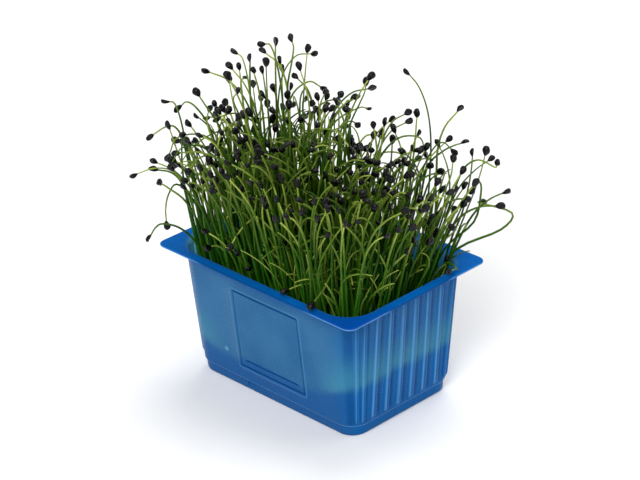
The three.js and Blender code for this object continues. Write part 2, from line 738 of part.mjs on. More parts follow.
// One sprout: a three-sided stem that widens at its tip into a flat, drop-shaped seed coat.
function sprout(points, roll) {
  const frames = stemRings(points, roll);
  const rings = frames.map((frame) => ringAround(frame, STEM_RADIUS, STEM_RADIUS, STEM_SIDES));
  const end = frames[frames.length - 1];
  for (const { along, halfWidth, halfThickness } of SEED_RINGS) {
    const point = end.point.clone().addScaledVector(end.tangent, along * SEED_LENGTH);
    rings.push(ringAround({ ...end, point }, halfWidth, halfThickness, SEED_SIDES));
  }
  const triangles = [];
  fan(triangles, rings[0], false);
  for (let k = 0; k < rings.length - 1; k += 1) stitch(triangles, rings[k], rings[k + 1]);
  const apex = end.point.clone().addScaledVector(end.tangent, SEED_LENGTH);
  const crown = rings[rings.length - 1];
  crown.forEach((point, k) => triangles.push(point, crown[(k + 1) % crown.length], apex));
  return toSolid(new THREE.BufferGeometry().setFromPoints(triangles));
}

// Finds room for every sprout, the stand-out ones first, and lists them by bunch.
function plantSprouts(places) {
  const random = seededRandom(SEED_NUMBER);
  const thicket = new Thicket();
  const bunches = places.map(() => []);
  const rootOf = (bunch) => {
    const quarter = (bunches[bunch].length / STEMS_PER_BUNCH) * Math.PI * 2;
    const turn = quarter + between(random, 0, ROOT_TURN);
    const x = places[bunch].x + ROOT_CIRCLE * Math.cos(turn);
    const y = places[bunch].y + ROOT_CIRCLE * Math.sin(turn);
    return new THREE.Vector3(x, y, MEDIUM_TOP - PLUG_SINK - ROOT_SINK);
  };
  const plant = (bunch, overhang, grow) => {
    for (let attempt = 0; attempt < TRIES; attempt += 1) {
      const points = grow(rootOf(bunch), attempt);
      const found = samples(points);
      const within = clearOfHole(points, places[bunch]) && overhangOf(points) < overhang;
      if (within && clearOfTray(found) && !thicket.crowded(found, bunch)) {
        thicket.add(found, bunch);
        bunches[bunch].push(points);
        return;
      }
    }
  };
  for (const { root, path } of STAND_OUT_STEMS) {
    const wanted = fromDiagonal([...root, 0]);
    const distances = places.map(({ x, y }, bunch) => {
      const full = bunches[bunch].length >= STEMS_PER_BUNCH;
      return full ? Infinity : Math.hypot(x - wanted.x, y - wanted.y);
    });
    const bunch = distances.indexOf(Math.min(...distances));
    plant(bunch, Infinity, (start, attempt) => {
      return standOutStem(start, path, attempt * NUDGE_PER_TRY, random);
    });
  }
  for (let round = 0; round < STEMS_PER_BUNCH; round += 1) {
    places.forEach((_, bunch) => {
      if (bunches[bunch].length > round) return;
      plant(bunch, OVERHANG, (start) => growStem(start, random));
    });
  }
  return bunches;
}

function sproutBunch(place, stems, bunch) {
  let solid = rootPlug(place);
  stems.forEach((points, k) => {
    solid = solid.add(sprout(points, bunch + k * STEM_ROLL));
  });
  return toGeometry(solid);
}

// ---------------------------------------------------------------- the whole object

const TRAY_MATERIAL = { color: 0x1257a8, roughness: 0.35, metalness: 0 };
const MEDIUM_MATERIAL = { color: 0x2e241b, roughness: 0.95, metalness: 0 };
const SPROUT_MATERIAL = { color: 0x4f7d1f, roughness: 0.55, metalness: 0 };

function namedMesh(name, geometry, finish) {
  const mesh = new THREE.Mesh(geometry, new THREE.MeshStandardMaterial(finish));
  mesh.name = name;
  return mesh;
}

const object = new THREE.Group();
const bunches = bunchPlaces(seededRandom(SEED_NUMBER));
object.add(namedMesh("tray", tray(), TRAY_MATERIAL));
object.add(namedMesh("growing_medium", growingMedium(bunches), MEDIUM_MATERIAL));
plantSprouts(bunches).forEach((stems, bunch) => {
  const name = `sprouts_${String(bunch + 1).padStart(2, "0")}`;
  object.add(namedMesh(name, sproutBunch(bunches[bunch], stems, bunch), SPROUT_MATERIAL));
});

export default object;
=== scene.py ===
"""A tray of onion sprouts: the looks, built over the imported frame.

Every length is in millimetres until a mesh is made, where it becomes metres. Materials and lights are in
metres from the start.
"""

from collections import defaultdict
from itertools import accumulate
from math import atan2, ceil, cos, floor, hypot, inf, pi, radians, sin, sqrt, tau
from random import Random

import bpy
import numpy as np
from mathutils import Matrix, Quaternion, Vector, noise


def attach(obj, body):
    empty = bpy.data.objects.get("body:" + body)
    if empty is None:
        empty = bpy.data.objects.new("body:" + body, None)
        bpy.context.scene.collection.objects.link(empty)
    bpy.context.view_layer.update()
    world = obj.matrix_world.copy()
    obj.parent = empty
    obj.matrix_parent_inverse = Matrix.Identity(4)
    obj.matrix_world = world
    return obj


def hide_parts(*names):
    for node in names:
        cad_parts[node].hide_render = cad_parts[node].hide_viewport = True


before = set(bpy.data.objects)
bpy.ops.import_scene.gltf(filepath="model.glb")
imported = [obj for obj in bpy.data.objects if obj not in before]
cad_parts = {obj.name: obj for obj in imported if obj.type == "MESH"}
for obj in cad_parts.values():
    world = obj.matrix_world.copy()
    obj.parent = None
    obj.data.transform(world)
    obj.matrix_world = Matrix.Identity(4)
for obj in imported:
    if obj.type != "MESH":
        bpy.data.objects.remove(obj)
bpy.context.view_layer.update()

MM = 0.001
FAR = 1e3

# The view of the photograph, found from the tray's corners.
IMAGE_WIDTH = 640
FOCAL_PIXELS = 2768
SENSOR_WIDTH = 36
CAMERA_AZIMUTH = radians(45.85)
CAMERA_ELEVATION = radians(27.41)
CAMERA_ROLL = radians(-2.02)
CAMERA_DISTANCE = 1003.2
CAMERA_ASIDE = -1.6
CAMERA_ABOVE = 49.2
CAMERA_CLIP = (0.1, 50)

# The studio. Each soft box has its azimuth and elevation in degrees, its distance and size in metres, and
# its watts, and they all face a point this far above the floor.
FLOOR_HALF = 4000
WORLD_LIGHT = 0.22
LIGHT_AIM = 0.06
SOFT_BOXES = {
    "key": (26, 42, 1.4, 0.7, 16),
    "fill": (145, 28, 1.6, 1.2, 7),
    "back": (280, 20, 1.6, 1.2, 3),
    "top": (205, 66, 1.5, 0.9, 13),
}

# The tray. Its walls lean in from the rim to the base, and its rim is a flat shelf.
RIM_HALF_LENGTH = 48.5
RIM_HALF_WIDTH = 34.5
RIM_SHELF = 4.4
RIM_CORNER = 3.5
TRAY_HEIGHT = 50.9
WALL = 0.8
TAPER = 4.7
TOP_CORNER = 11
BASE_CORNER = 7
END_WALL_FLAT = 17.4
LONG_WALL_FLAT = 31.5
FLOOR_SHARES = (0.3, 0.62, 0.9)
FOOT_HEIGHT = 4.2
FOOT_STEP = 0.5
STEP_RISE = 0.5
BASE_ROUND = 0.9
RIM_ROUND = 1.2
LIP = 0.4
RIM_WAVE = 0.16
RIM_WAVE_LENGTH = 22
WALL_BOW = 0.25

# Upright ribs on both end walls, and two more turned on to each corner.
RIB_PLACES = [-15.75, -9.45, -3.15, 3.15, 9.45, 15.75]
RIB_HALF_WIDTH = 1.35
CORNER_RIB_TURNS = [0.27, 0.56]
CORNER_RIB_HALF_WIDTH = 0.85
RIB_CREST = 0.45
RIB_DEPTH = 0.75
RIB_BOTTOM = 5.3
RIB_TOP = 48.6
RIB_FADE = 1.5

# A plain moulded frame on one long wall, a line above its foot, and two moulded spots.
FRAME_MIDDLE = (1, 26.05)
FRAME_HALF = (16, 15.65)
FRAME_LINE_HEIGHT = 13.2
FRAME_LINE_ENDS = (-12, 14)
GROOVE_HALF_WIDTH = 0.4
GROOVE_DEPTH = 0.5
RIDGE_OUT = 1.15
RIDGE_HALF_WIDTH = 0.45
RIDGE_RISE = 0.22
SPOTS = [(-22.1, 14.5), (-12.9, 2.8)]
SPOT_RADIUS = 1.2
SPOT_RISE = 0.3
LINE_REACH = 0.5

# Colours of the tray, in linear light.
WALL_DEEP = (0.028, 0.164, 0.380)
WALL_HAZY = (0.046, 0.204, 0.430)
END_WALL = (0.014, 0.170, 0.480)
RIM_BLUE = (0.0, 0.155, 0.560)
# Painted shade: the rim's deeper blue towards the near corner.
RIM_SHADE_AT_CORNER = (0.0, 0.080, 0.430)
# Painted shade on the long and end walls where the medium stands behind them.
WALL_MEDIUM_SHADE = (0.012, 0.124, 0.400)
END_MEDIUM_SHADE = (0.0, 0.160, 0.510)
# Painted light: the inner faces paler cyan, as if lit through the sheet; the upper spot takes some too.
INNER_LIGHT_CYAN = (0.320, 0.920, 1.0)
# Darker marks: painted shade beside the ribs, in the grooves and on the rim's lip between its highlights; the
# strips on the corners and the lower spot are just darker.
DARKER_BLUE = (0.0, 0.068, 0.270)
GLOW_CYAN = (0.085, 0.400, 0.540)
# Painted highlight on the rib edges, the rim's lip, the foot's step and the frame's ridge.
HIGHLIGHT_BLUE = (0.270, 0.600, 1.0)
THROUGH_CYAN = (0.10, 0.60, 0.85)

# Colours of the medium, the stems and the seeds. A stem's tone goes from the first to the second.
PEAT_DARK = (0.012, 0.008, 0.005)
PEAT_BROWN = (0.060, 0.036, 0.018)
PEAT_FLECK = (0.150, 0.095, 0.045)
STEM_DEEP = ((0.002, 0.032, 0.0), (0.074, 0.200, 0.005))
STEM_FRESH = ((0.090, 0.185, 0.008), (0.620, 0.700, 0.140))
STEM_LOW = (0.045, 0.260, 0.012)
STEM_FOOT = (0.250, 0.320, 0.130)
STEM_RED = (0.160, 0.050, 0.018)
STEM_STREAK = (0.014, 0.050, 0.004)
STEM_GLOSS = (0.7, 1.0, 0.45)
STEM_THROUGH = (0.14, 0.56, 0.0)
SEED_BLACK = (0.0002, 0.0002, 0.0004)
SEED_WORN = (0.004, 0.003, 0.004)

# The growing medium, and the root plug of each bunch.
MEDIUM_TOP = 22
MEDIUM_SIDE_GAP = 0.5
MEDIUM_FLOOR_GAP = 0.3
MEDIUM_ROUND = 1.2
MEDIUM_STATIONS = 220
MEDIUM_RINGS = 46
MEDIUM_LUMP = 1.1
LUMP_SCALE = 6
MEDIUM_CRUMB = 0.5
CRUMB_SCALE = 1.6
MEDIUM_DENT = 0.5
DENT_SCALE = 2.5
DIMPLE_RADIUS = 3.2
DIMPLE_DEPTH = 1.3
LITTER_MARGIN = 5
CRUMBS = 240
CRUMB_SIZE = (0.35, 1.0)
CRUMB_SIDES = 7
CRUMB_LEVELS = 4
FIBRES = 90
FIBRE_RADIUS = 0.1
PLUG_RADIUS = 2.1
PLUG_TIP_RADIUS = 1.4
PLUG_TOP = 21.5
PLUG_HEIGHT = 6
PLUG_SIDES = 14
PLUG_LEVELS = 7

# Sprouts. Those of the frame are made finer, and more are grown between them. Bare ones have no seed: they
# taper late to a thin tip, whose colour stops short of a seeded one's. Loose ones are bare and slender.
SEED_NUMBER = 4117
STEM_SIDES = 8
STEM_SEGMENTS = 24
STEM_RADIUS = 0.46
STEM_TIP_RADIUS = 0.27
BARE_TIP_RADIUS = 0.18
SEEDED_TAPER = 1.2
BARE_TAPER = 2.5
BARE_ALONG = 0.82
LOOSE_TONE = 0.6
STEM_SIZES = (0.82, 1.14)
LOOSE_SIZES = (0.62, 0.82)
ROOT_DEPTH = 1.6
ROOT_SPREAD = 1.7
CLOSER_ROOTS = 0.7
SEED_LENGTH = 3.8
SEED_HALF_WIDTH = 1.32
SEED_HALF_THICKNESS = 0.92
SEED_SIZES = (0.86, 1.06)
SEED_BROADEST = 0.6
SEED_OVERLAP = 0.35
DISH = 0.75
SEED_SIDES = 12
SEED_RINGS = 9
STEM_SLOT, SEED_SLOT, PLUG_SLOT = range(3)

# Parts of the stand, seen along the diagonal that faces the camera. Each begins at the first number and is
# full at the second: the first two by how far away it is, the next three by how far to the side, and the
# tall hump by a bunch's crown.
DIAGONAL = 0.8
FRONT = (-4, -16)
FANNED = (4, -14)
AT_END = (24, 36)
AT_LEFT = (-20, -32)
AT_RIGHT = (6, 20)
TALL_CROWN = (98, 112)

# How many more sprouts a bunch gets, the shares taken off, and the shares that have seeds or are short.
MORE_SPROUTS = 11
MORE_IN_FRONT = 8
LOOSE_IN_FRONT = 3
FEWER_AT_LEFT = 0.1
FEWER_AT_RIGHT = 0.08
SEEDED_SHARE = 0.36
SEEDED_AT_LEFT = 0.6
SEEDED_IN_FRONT = 0.12
SHORT_SHARE = 0.1

# How high they reach, as shares of their bunch's crown over the medium.
SHORT_REACH = (0.5, 0.8)
LEAST_REACH = 0.78
SEEDED_REACH = 1.02
BARE_REACH = 0.96
LOWER_IN_FRONT = 0.16
HIGHER_IN_FRONT = 0.06
LOWER_IN_TALL = 0.22
HIGHER_AT_END = 0.08
HIGHER_AT_LEFT = 0.18

# How they lean, sway and turn over. Leans and sways are slopes, curls are in radians, and a curl starts at
# a share of the stem's length. The seeded ones draw their kind of curl by the shares up to each kind.
LEAN = 0.13
FULL_LEAN_AT = (36, 22)
LEAN_VARIATION = 0.15
FAN = 0.009
LEAN_PULLS = (0.7, 1.3)
LOOSE_WANDER = 2
FRONT_WANDER = 0.6
SWAY = 0.07
FRONT_SWAY = 0.05
LOOSE_SWAY = 0.2
STRAIGHTER_IN_FRONT = 0.6
SEEDED_CURLS = {0.35: (0.2, 0.9), 0.75: (0.9, 1.9), 1: (1.9, 2.8)}
BARE_CURLS = ((0.4, 1.2), (1.2, 2.8))
SEEDED_CURL_START = (0.62, 0.88)
BARE_CURL_START = (0.55, 0.85)
LOOSE_CURL_START = (0.2, 0.6)
TURN_VARIATION = 1.3
TWIST_VARIATION = 0.8

# How a new sprout finds room. The stems may crowd below CROWDED_FROM.
TRIES = 7
CELL = 1.25
CROWDED_FROM = MEDIUM_TOP + 8
REACH_OUT = 15
PAST_WALL = 4
MOST_PAST_WALL = 8
OVERREACH_WEIGHT = 8
SEED_WEIGHT = 2
CLUMP_SPACING = 3
STEM_ROOM = STEM_RADIUS + 0.2
SEED_ROOM = 1.2
LOWEST_SEED = MEDIUM_TOP + 3


def smooth(edge0, edge1, value):
    """0 up to edge0 and 1 from edge1 on, with a smooth turn between them. edge0 may be the higher one."""
    share = np.clip((value - edge0) / (edge1 - edge0), 0, 1)
    return share * share * (3 - 2 * share)


def band(value, full, reach):
    """1 where the value is within `full` of zero, and 0 beyond `reach`."""
    return 1 - smooth(full, reach, np.abs(value))


def turns(count):
    """Even turns round a circle."""
    return [tau * k / count for k in range(count)]


def towards(azimuth, elevation):
    """The direction at an azimuth, counted from -Y towards +X, and an elevation."""
    level = cos(elevation)
    return Vector((sin(azimuth) * level, -cos(azimuth) * level, sin(elevation)))


def mesh_object(name, points, faces, materials, face_materials=None, **attributes):
    """A smooth-shaded piece from points in millimetres. Each attribute has a number for each point."""
    mesh = bpy.data.meshes.new(name)
    mesh.from_pydata((np.asarray(points, float) * MM).tolist(), [], faces)
    for material in materials:
        mesh.materials.append(material)
    if face_materials is not None:
        mesh.polygons.foreach_set("material_index", face_materials)
    mesh.polygons.foreach_set("use_smooth", [True] * len(mesh.polygons))
    for key, values in attributes.items():
        mesh.attributes.new(key, "FLOAT", "POINT").data.foreach_set("value", values)
    mesh.update()
    piece = bpy.data.objects.new(name, mesh)
    bpy.context.scene.collection.objects.link(piece)
    return piece


# ---- materials


def new_tree(name):
    material = bpy.data.materials.new(name)
    material.use_nodes = True
    material.node_tree.nodes.clear()
    return material, material.node_tree


def node(tree, kind, inputs=None, **settings):
    """A new node. Each input is a socket to link from, or a value; a colour may be three numbers."""
    made = tree.nodes.new(kind)
    for key, value in settings.items():
        setattr(made, key, value)
    for key, value in (inputs or {}).items():
        socket = made.inputs[key]
        if isinstance(value, bpy.types.NodeSocket):
            tree.links.new(value, socket)
        else:
            socket.default_value = (*value, 1) if socket.type == "RGBA" else value
    return made


def place_in(tree):
    return node(tree, "ShaderNodeTexCoord").outputs["Object"]


def attribute(tree, name):
    return node(tree, "ShaderNodeAttribute", attribute_name=name).outputs["Fac"]


def noise_of(where, scale, detail, roughness=0.55):
    """Noise from 0 to 1, with `scale` features a metre."""
    settings = {"Vector": where, "Scale": scale, "Detail": detail, "Roughness": roughness}
    return node(where.id_data, "ShaderNodeTexNoise", settings).outputs["Fac"]


def ranged(value, low, high, to_low=0.0, to_high=1.0):
    """The value from low to high, mapped smoothly on to to_low to to_high."""
    settings = {"Value": value, "From Min": low, "From Max": high, "To Min": to_low, "To Max": to_high}
    smoothly = {"interpolation_type": "SMOOTHSTEP"}
    return node(value.id_data, "ShaderNodeMapRange", settings, **smoothly).outputs["Result"]


def maths(operation, first, second=0.0):
    return node(first.id_data, "ShaderNodeMath", {0: first, 1: second}, operation=operation).outputs[0]


def times(first, second):
    return maths("MULTIPLY", first, second)


def mixed(share, first, second):
    """A mix of two colours, where the share or the first colour is a socket."""
    tree = (share if isinstance(share, bpy.types.NodeSocket) else first).id_data
    return node(tree, "ShaderNodeMix", {0: share, 6: first, 7: second}, data_type="RGBA").outputs[2]


def bumped(height, distance, strength=1.0, **over):
    """A normal bumped by a height, over another `Normal` where one is given."""
    settings = {"Height": height, "Distance": distance, "Strength": strength, **over}
    return node(height.id_data, "ShaderNodeBump", settings).outputs["Normal"]


def glossy(colour, roughness, specular, normal, tint=(1.0, 1.0, 1.0)):
    settings = {
        "Base Color": colour,
        "Roughness": roughness,
        "Specular IOR Level": specular,
        "Specular Tint": tint,
        "Normal": normal,
    }
    return node(colour.id_data, "ShaderNodeBsdfPrincipled", settings).outputs[0]


def lit_through(skin, share, colour):
    """The skin, with a share of its light let through in that colour."""
    through = node(skin.id_data, "ShaderNodeBsdfTranslucent", {"Color": colour}).outputs[0]
    return node(skin.id_data, "ShaderNodeMixShader", {0: share, 1: skin, 2: through}).outputs[0]


def finished(material, surface):
    output = node(material.node_tree, "ShaderNodeOutputMaterial")
    material.node_tree.links.new(surface, output.inputs["Surface"])
    return material


def plastic():
    """Blue see-through sheet: hazy on the walls and deepest on the flat rim. Painted into its colour are
    shade where the medium stands behind the wall and towards the rim's near corner, light on the inner faces
    and just above the medium, and the highlights and shade of its ribs and mouldings."""
    material, tree = new_tree("blue_plastic")
    where = place_in(tree)
    axes = node(tree, "ShaderNodeSeparateXYZ", {"Vector": where}).outputs
    along, across, height = axes["X"], axes["Y"], axes["Z"]
    from_middle = maths("ABSOLUTE", along)
    cloud = noise_of(where, 60, 3)
    end = ranged(from_middle, 0.034, 0.041)
    wall = mixed(ranged(cloud, 0.3, 0.7), WALL_DEEP, WALL_HAZY)
    wall = mixed(times(end, 0.8), wall, END_WALL)
    # Painted shade: the rim darkens towards the near corner.
    corner = ranged(maths("SUBTRACT", along, across), 0.050, 0.078)
    rim = mixed(corner, RIM_BLUE, RIM_SHADE_AT_CORNER)
    colour = mixed(ranged(height, 0.044, 0.0497), wall, rim)
    above = above_medium(along, height, cloud)
    # Painted shade: the wall darkens below the line where the medium stands behind it.
    medium_shade = times(ranged(above, -0.002, 0.0025, 1, 0), 0.85)
    colour = mixed(medium_shade, colour, mixed(end, WALL_MEDIUM_SHADE, END_MEDIUM_SHADE))
    # Painted light on the inner faces, as if lit through the sheet from behind.
    colour = mixed(times(attribute(tree, "inner"), 0.92), colour, INNER_LIGHT_CYAN)
    # Darker marks, mostly painted shade beside the ribs, in the grooves and on the lip.
    colour = mixed(attribute(tree, "dark"), colour, DARKER_BLUE)
    colour = mixed(times(glow_above(above, from_middle), 0.5), colour, GLOW_CYAN)
    # Painted highlights on edges, the lip, the step and the ridge.
    colour = mixed(times(attribute(tree, "pale"), 0.8), colour, HIGHLIGHT_BLUE)
    grain = noise_of(where, 1800, 2)
    relief = bumped(grain, 0.00002, 0.15)
    relief = bumped(noise_of(where, 90, 2), 0.0006, 0.5, Normal=relief)
    skin = glossy(colour, ranged(grain, 0.2, 0.8, 0.24, 0.34), 0.11, relief)
    return finished(material, lit_through(skin, 0.35, mixed(0.4, colour, THROUGH_CYAN)))


def above_medium(along, height, cloud):
    """How far a place is above the wavering line up to which the medium stands against the wall."""
    line = ranged(along, 0.018, 0.042, 0.0135, 0.0195)
    wavering = maths("ADD", times(cloud, 0.008), -0.004)
    return maths("ADD", maths("SUBTRACT", height, line), wavering)


def glow_above(above, from_middle):
    """The light that is caught just above the medium's line, towards the tray's ends."""
    rise = ranged(above, -0.001, 0.003)
    fall = ranged(above, 0.003, 0.018, 1, 0)
    return times(times(rise, fall), ranged(from_middle, 0.022, 0.035))


def peat():
    """Dark brown fibre with paler flecks."""
    material, tree = new_tree("peat")
    where = place_in(tree)
    lumps = noise_of(where, 350, 6, 0.7)
    flecks = noise_of(where, 2200, 3)
    colour = mixed(ranged(lumps, 0.35, 0.7), PEAT_DARK, PEAT_BROWN)
    colour = mixed(ranged(flecks, 0.66, 0.74), colour, PEAT_FLECK)
    relief = bumped(maths("ADD", lumps, times(flecks, 0.4)), 0.0006)
    return finished(material, glossy(colour, ranged(flecks, 0.3, 0.7, 0.8, 0.97), 0.25, relief))


def stem_skin():
    """Deep green with fine streaks, fresher low down and yellower towards the tip. The root end is pale,
    and on a few stems reddish."""
    material, tree = new_tree("green_stem")
    where = place_in(tree)
    along = attribute(tree, "along")
    tone = attribute(tree, "tone")
    stretched = node(tree, "ShaderNodeMapping", {"Vector": where, "Scale": (1, 1, 0.12)}).outputs["Vector"]
    streaks = noise_of(stretched, 4000, 2)
    patches = noise_of(where, 160, 2)
    high = ranged(maths("ADD", along, times(patches, 0.3)), 0.56, 1.12)
    colour = mixed(high, mixed(tone, *STEM_DEEP), mixed(tone, *STEM_FRESH))
    colour = mixed(ranged(along, 0.15, 0.5, 0.5, 0), colour, STEM_LOW)
    colour = mixed(ranged(along, 0.02, 0.13, 0.6, 0), colour, STEM_FOOT)
    red = times(ranged(along, 0.1, 0.35, 0.8, 0), ranged(tone, 0.9, 0.94))
    colour = mixed(red, colour, STEM_RED)
    colour = mixed(ranged(streaks, 0.35, 0.75, 0, 0.45), colour, STEM_STREAK)
    relief = bumped(streaks, 0.00006, 0.7)
    skin = glossy(colour, ranged(patches, 0.3, 0.7, 0.26, 0.4), 0.34, relief, STEM_GLOSS)
    return finished(material, lit_through(skin, 0.37, mixed(0.5, colour, STEM_THROUGH)))


def seed_skin():
    """Black, wrinkled and a little shiny."""
    material, tree = new_tree("black_seed_coat")
    wrinkles = noise_of(place_in(tree), 1500, 5, 0.65)
    colour = mixed(ranged(wrinkles, 0.4, 0.75), SEED_BLACK, SEED_WORN)
    relief = bumped(wrinkles, 0.00022)
    return finished(material, glossy(colour, ranged(wrinkles, 0.3, 0.7, 0.14, 0.3), 0.24, relief))


def white_floor():
    material, tree = new_tree("pale_floor")
    shade = mixed(noise_of(place_in(tree), 3, 2), (0.93, 0.93, 0.93), (0.95, 0.95, 0.95))
    return finished(material, node(tree, "ShaderNodeBsdfDiffuse", {"Color": shade}).outputs[0])


# ---- tray outline


def half_length(height):
    return RIM_HALF_LENGTH - RIM_SHELF - TAPER * (1 - height / TRAY_HEIGHT)


def half_width(height):
    return RIM_HALF_WIDTH - RIM_SHELF - TAPER * (1 - height / TRAY_HEIGHT)


def corner_radius(height):
    return BASE_CORNER + (TOP_CORNER - BASE_CORNER) * height / TRAY_HEIGHT


class Outline:
    """Counter-clockwise stations round a rounded rectangle, on its end walls, corners and long walls."""

    def __init__(self, end_places, corner_angles, front_places, back_places):
        rows = []
        for end in (1, -1):
            rows += [(end, 1, 0.0, np.nan, end * y) for y in end_places]
            rows += [(end, end, angle, np.nan, np.nan) for angle in corner_angles]
            walls = back_places if end > 0 else front_places
            rows += [(end, end, pi / 2, -end * x, np.nan) for x in walls]
            rows += [(-end, end, angle, np.nan, np.nan) for angle in reversed(corner_angles)]
        self.x_side, self.y_side, self.angle, self.x_fixed, self.y_fixed = np.array(rows).T
        self.count = len(rows)
        self.out_x = self.x_side * np.cos(self.angle)
        self.out_y = self.y_side * np.sin(self.angle)
        self.on_end = ~np.isnan(self.y_fixed)
        self.on_front = ~np.isnan(self.x_fixed) & (self.y_side < 0)
        self.on_corner = np.isnan(self.x_fixed) & np.isnan(self.y_fixed)

    def ring(self, long, wide, radius, height, proud=0.0):
        """The stations on a rectangle of these half sizes, `proud` further out, at that height."""
        x = self.x_side * (long - radius) + radius * self.out_x
        y = self.y_side * (wide - radius) + radius * self.out_y
        x = np.where(np.isnan(self.x_fixed), x, self.x_fixed) + proud * self.out_x
        y = np.where(np.isnan(self.y_fixed), y, self.y_fixed) + proud * self.out_y
        return np.column_stack([x, y, np.broadcast_to(height, x.shape)])

    def level(self, height, grow, at=None, proud=0.0):
        """The tray's own outline at one height, grown by `grow`, and put `at` another where one is given."""
        sizes = (size(height) + grow for size in (half_length, half_width, corner_radius))
        return self.ring(*sizes, height if at is None else at, proud)

    def beside_rib(self, height):
        """How far each station is past the middle of the nearest rib, as a share of that rib's half width.
        Past is towards +Y on the end walls, and towards the end wall on the corners."""
        past = np.full(self.count, FAR)
        around = corner_radius(height) / CORNER_RIB_HALF_WIDTH
        turn = np.where(self.on_corner, self.angle, np.nan)
        on_ends = [(self.y_fixed - middle) / RIB_HALF_WIDTH for middle in RIB_PLACES]
        on_corners = [(middle - turn) * around for middle in CORNER_RIB_TURNS]
        for share in on_ends + on_corners:
            past = np.where(np.abs(share) < np.abs(past), share, past)
        return past

    def ribs(self, height):
        """How proud each station stands for the ribs, the painted highlight on their edges, the painted shade
        on the +Y side of each rib on the end walls, and the darker strips on the corners. One edge of a rib
        has a brighter painted highlight than the other."""
        past = self.beside_rib(height)
        ends = smooth(RIB_BOTTOM, RIB_BOTTOM + RIB_FADE, height) * smooth(RIB_TOP, RIB_TOP - RIB_FADE, height)
        proud = RIB_DEPTH * ends * band(past, RIB_CREST, 1)
        # Painted highlights on the rib edges, brighter on one edge.
        edges = np.maximum(band(past + 0.6, 0.06, 0.26), 0.35 * band(past - 0.5, 0.05, 0.25))
        edges = edges * np.where(self.on_corner, 0.6, 1)
        # Painted shade: a dark band on the +Y side of each rib on the end walls.
        beside = smooth(0.5, 0.9, past) * (1 - smooth(1.3, 3.2, past)) * self.on_end
        turn = np.where(self.on_corner, self.angle, 0)
        corner = smooth(0.66, 0.76, turn) * (1 - smooth(0.95, 1.15, turn))
        corner = np.maximum(corner, smooth(0.2, 0.14, turn) * smooth(0.04, 0.08, turn))
        return proud, ends * edges, np.maximum(0.75 * ends * beside, 0.6 * corner)

    def from_frame(self, height):
        """How far each station is outside the moulded frame's line on the front wall, negative inside it,
        and whether the nearest stretch of that line is level."""
        x = np.where(self.on_front, self.x_fixed, FAR)
        beyond_x = np.abs(x - FRAME_MIDDLE[0]) - FRAME_HALF[0]
        beyond_z = abs(height - FRAME_MIDDLE[1]) - FRAME_HALF[1]
        outside = np.hypot(np.maximum(beyond_x, 0), max(beyond_z, 0))
        beyond = outside + np.minimum(np.maximum(beyond_x, beyond_z), 0)
        return beyond, np.abs(beyond_z) < np.abs(beyond_x)

    def moulding(self, height):
        """How proud each station is for the frame and the two spots, the ridge's painted highlight, the
        grooves' painted shade, the darker lower spot and how clear the upper spot is.
        """
        x = np.where(self.on_front, self.x_fixed, FAR)
        beyond, level = self.from_frame(height)
        past_end = np.maximum(np.maximum(FRAME_LINE_ENDS[0] - x, x - FRAME_LINE_ENDS[1]), 0)
        line = np.hypot(past_end, height - FRAME_LINE_HEIGHT)
        nearest = np.minimum(np.abs(beyond), line) / GROOVE_HALF_WIDTH
        groove = band(nearest, 0.25, 1)
        # Painted shade in the grooves, fuller on the level stretches and the line above the foot.
        shade = np.where(level | (line < GROOVE_HALF_WIDTH), band(nearest, 0.5, 1.15), 0.6 * groove)
        # Painted highlight on the ridge beside the groove.
        ridge = band((beyond - RIDGE_OUT) / RIDGE_HALF_WIDTH, 0.2, 1)
        upper, lower = (band(np.hypot(x - at, height - up) / SPOT_RADIUS, 0.4, 1) for at, up in SPOTS)
        proud = RIDGE_RISE * ridge + SPOT_RISE * (upper + lower) - GROOVE_DEPTH * groove
        return proud, 0.25 * ridge, np.maximum(shade, 0.8 * lower), 0.4 * upper

    def bow(self, height):
        """The walls' slight swell between their ends."""
        up = np.clip((height - FOOT_HEIGHT) / (TRAY_HEIGHT - FOOT_HEIGHT), 0, 1)
        return WALL_BOW * sin(pi * up) * ~self.on_corner * smooth(0, 1, self.middleness())

    def middleness(self):
        """1 in the middle of a straight wall and 0 at its ends."""
        ends = np.abs(np.where(self.on_end, self.y_fixed, 0)) / (END_WALL_FLAT + 1)
        sides = np.abs(np.where(np.isnan(self.x_fixed), 0, self.x_fixed)) / (LONG_WALL_FLAT + 1)
        return 1 - np.where(self.on_end, ends, sides)


def cluster(middle, reach, count):
    """Places at even steps, up to `reach` on both sides of the middle."""
    return list(np.linspace(middle - reach, middle + reach, count))


def beside(lines):
    """Places close together at each moulded line, from the number that each gets."""
    return [place for middle, count in lines.items() for place in cluster(middle, LINE_REACH, count)]


def stations():
    """Stations close together wherever the wall has a rib, a groove or a spot."""
    end_places = list(np.arange(-END_WALL_FLAT, END_WALL_FLAT + 0.1, 0.4))
    corner_angles = list(np.linspace(0, 0.8, 34)) + list(np.linspace(0.87, pi / 2, 11))
    left, right = FRAME_MIDDLE[0] - FRAME_HALF[0], FRAME_MIDDLE[0] + FRAME_HALF[0]
    front = beside({left: 8, right: 8, left - RIDGE_OUT: 6, right + RIDGE_OUT: 6})
    front += beside({FRAME_LINE_ENDS[0]: 4, FRAME_LINE_ENDS[1]: 5})
    front += cluster(SPOTS[0][0], SPOT_RADIUS, 9) + cluster(SPOTS[1][0] - 0.6, 0.8, 6)
    back = list(np.arange(-LONG_WALL_FLAT, LONG_WALL_FLAT + 0.5, 3.5))
    front += [x for x in back if min(abs(x - other) for other in front) > 1]
    return Outline(end_places, corner_angles, sorted(front), back)


# ---- tray


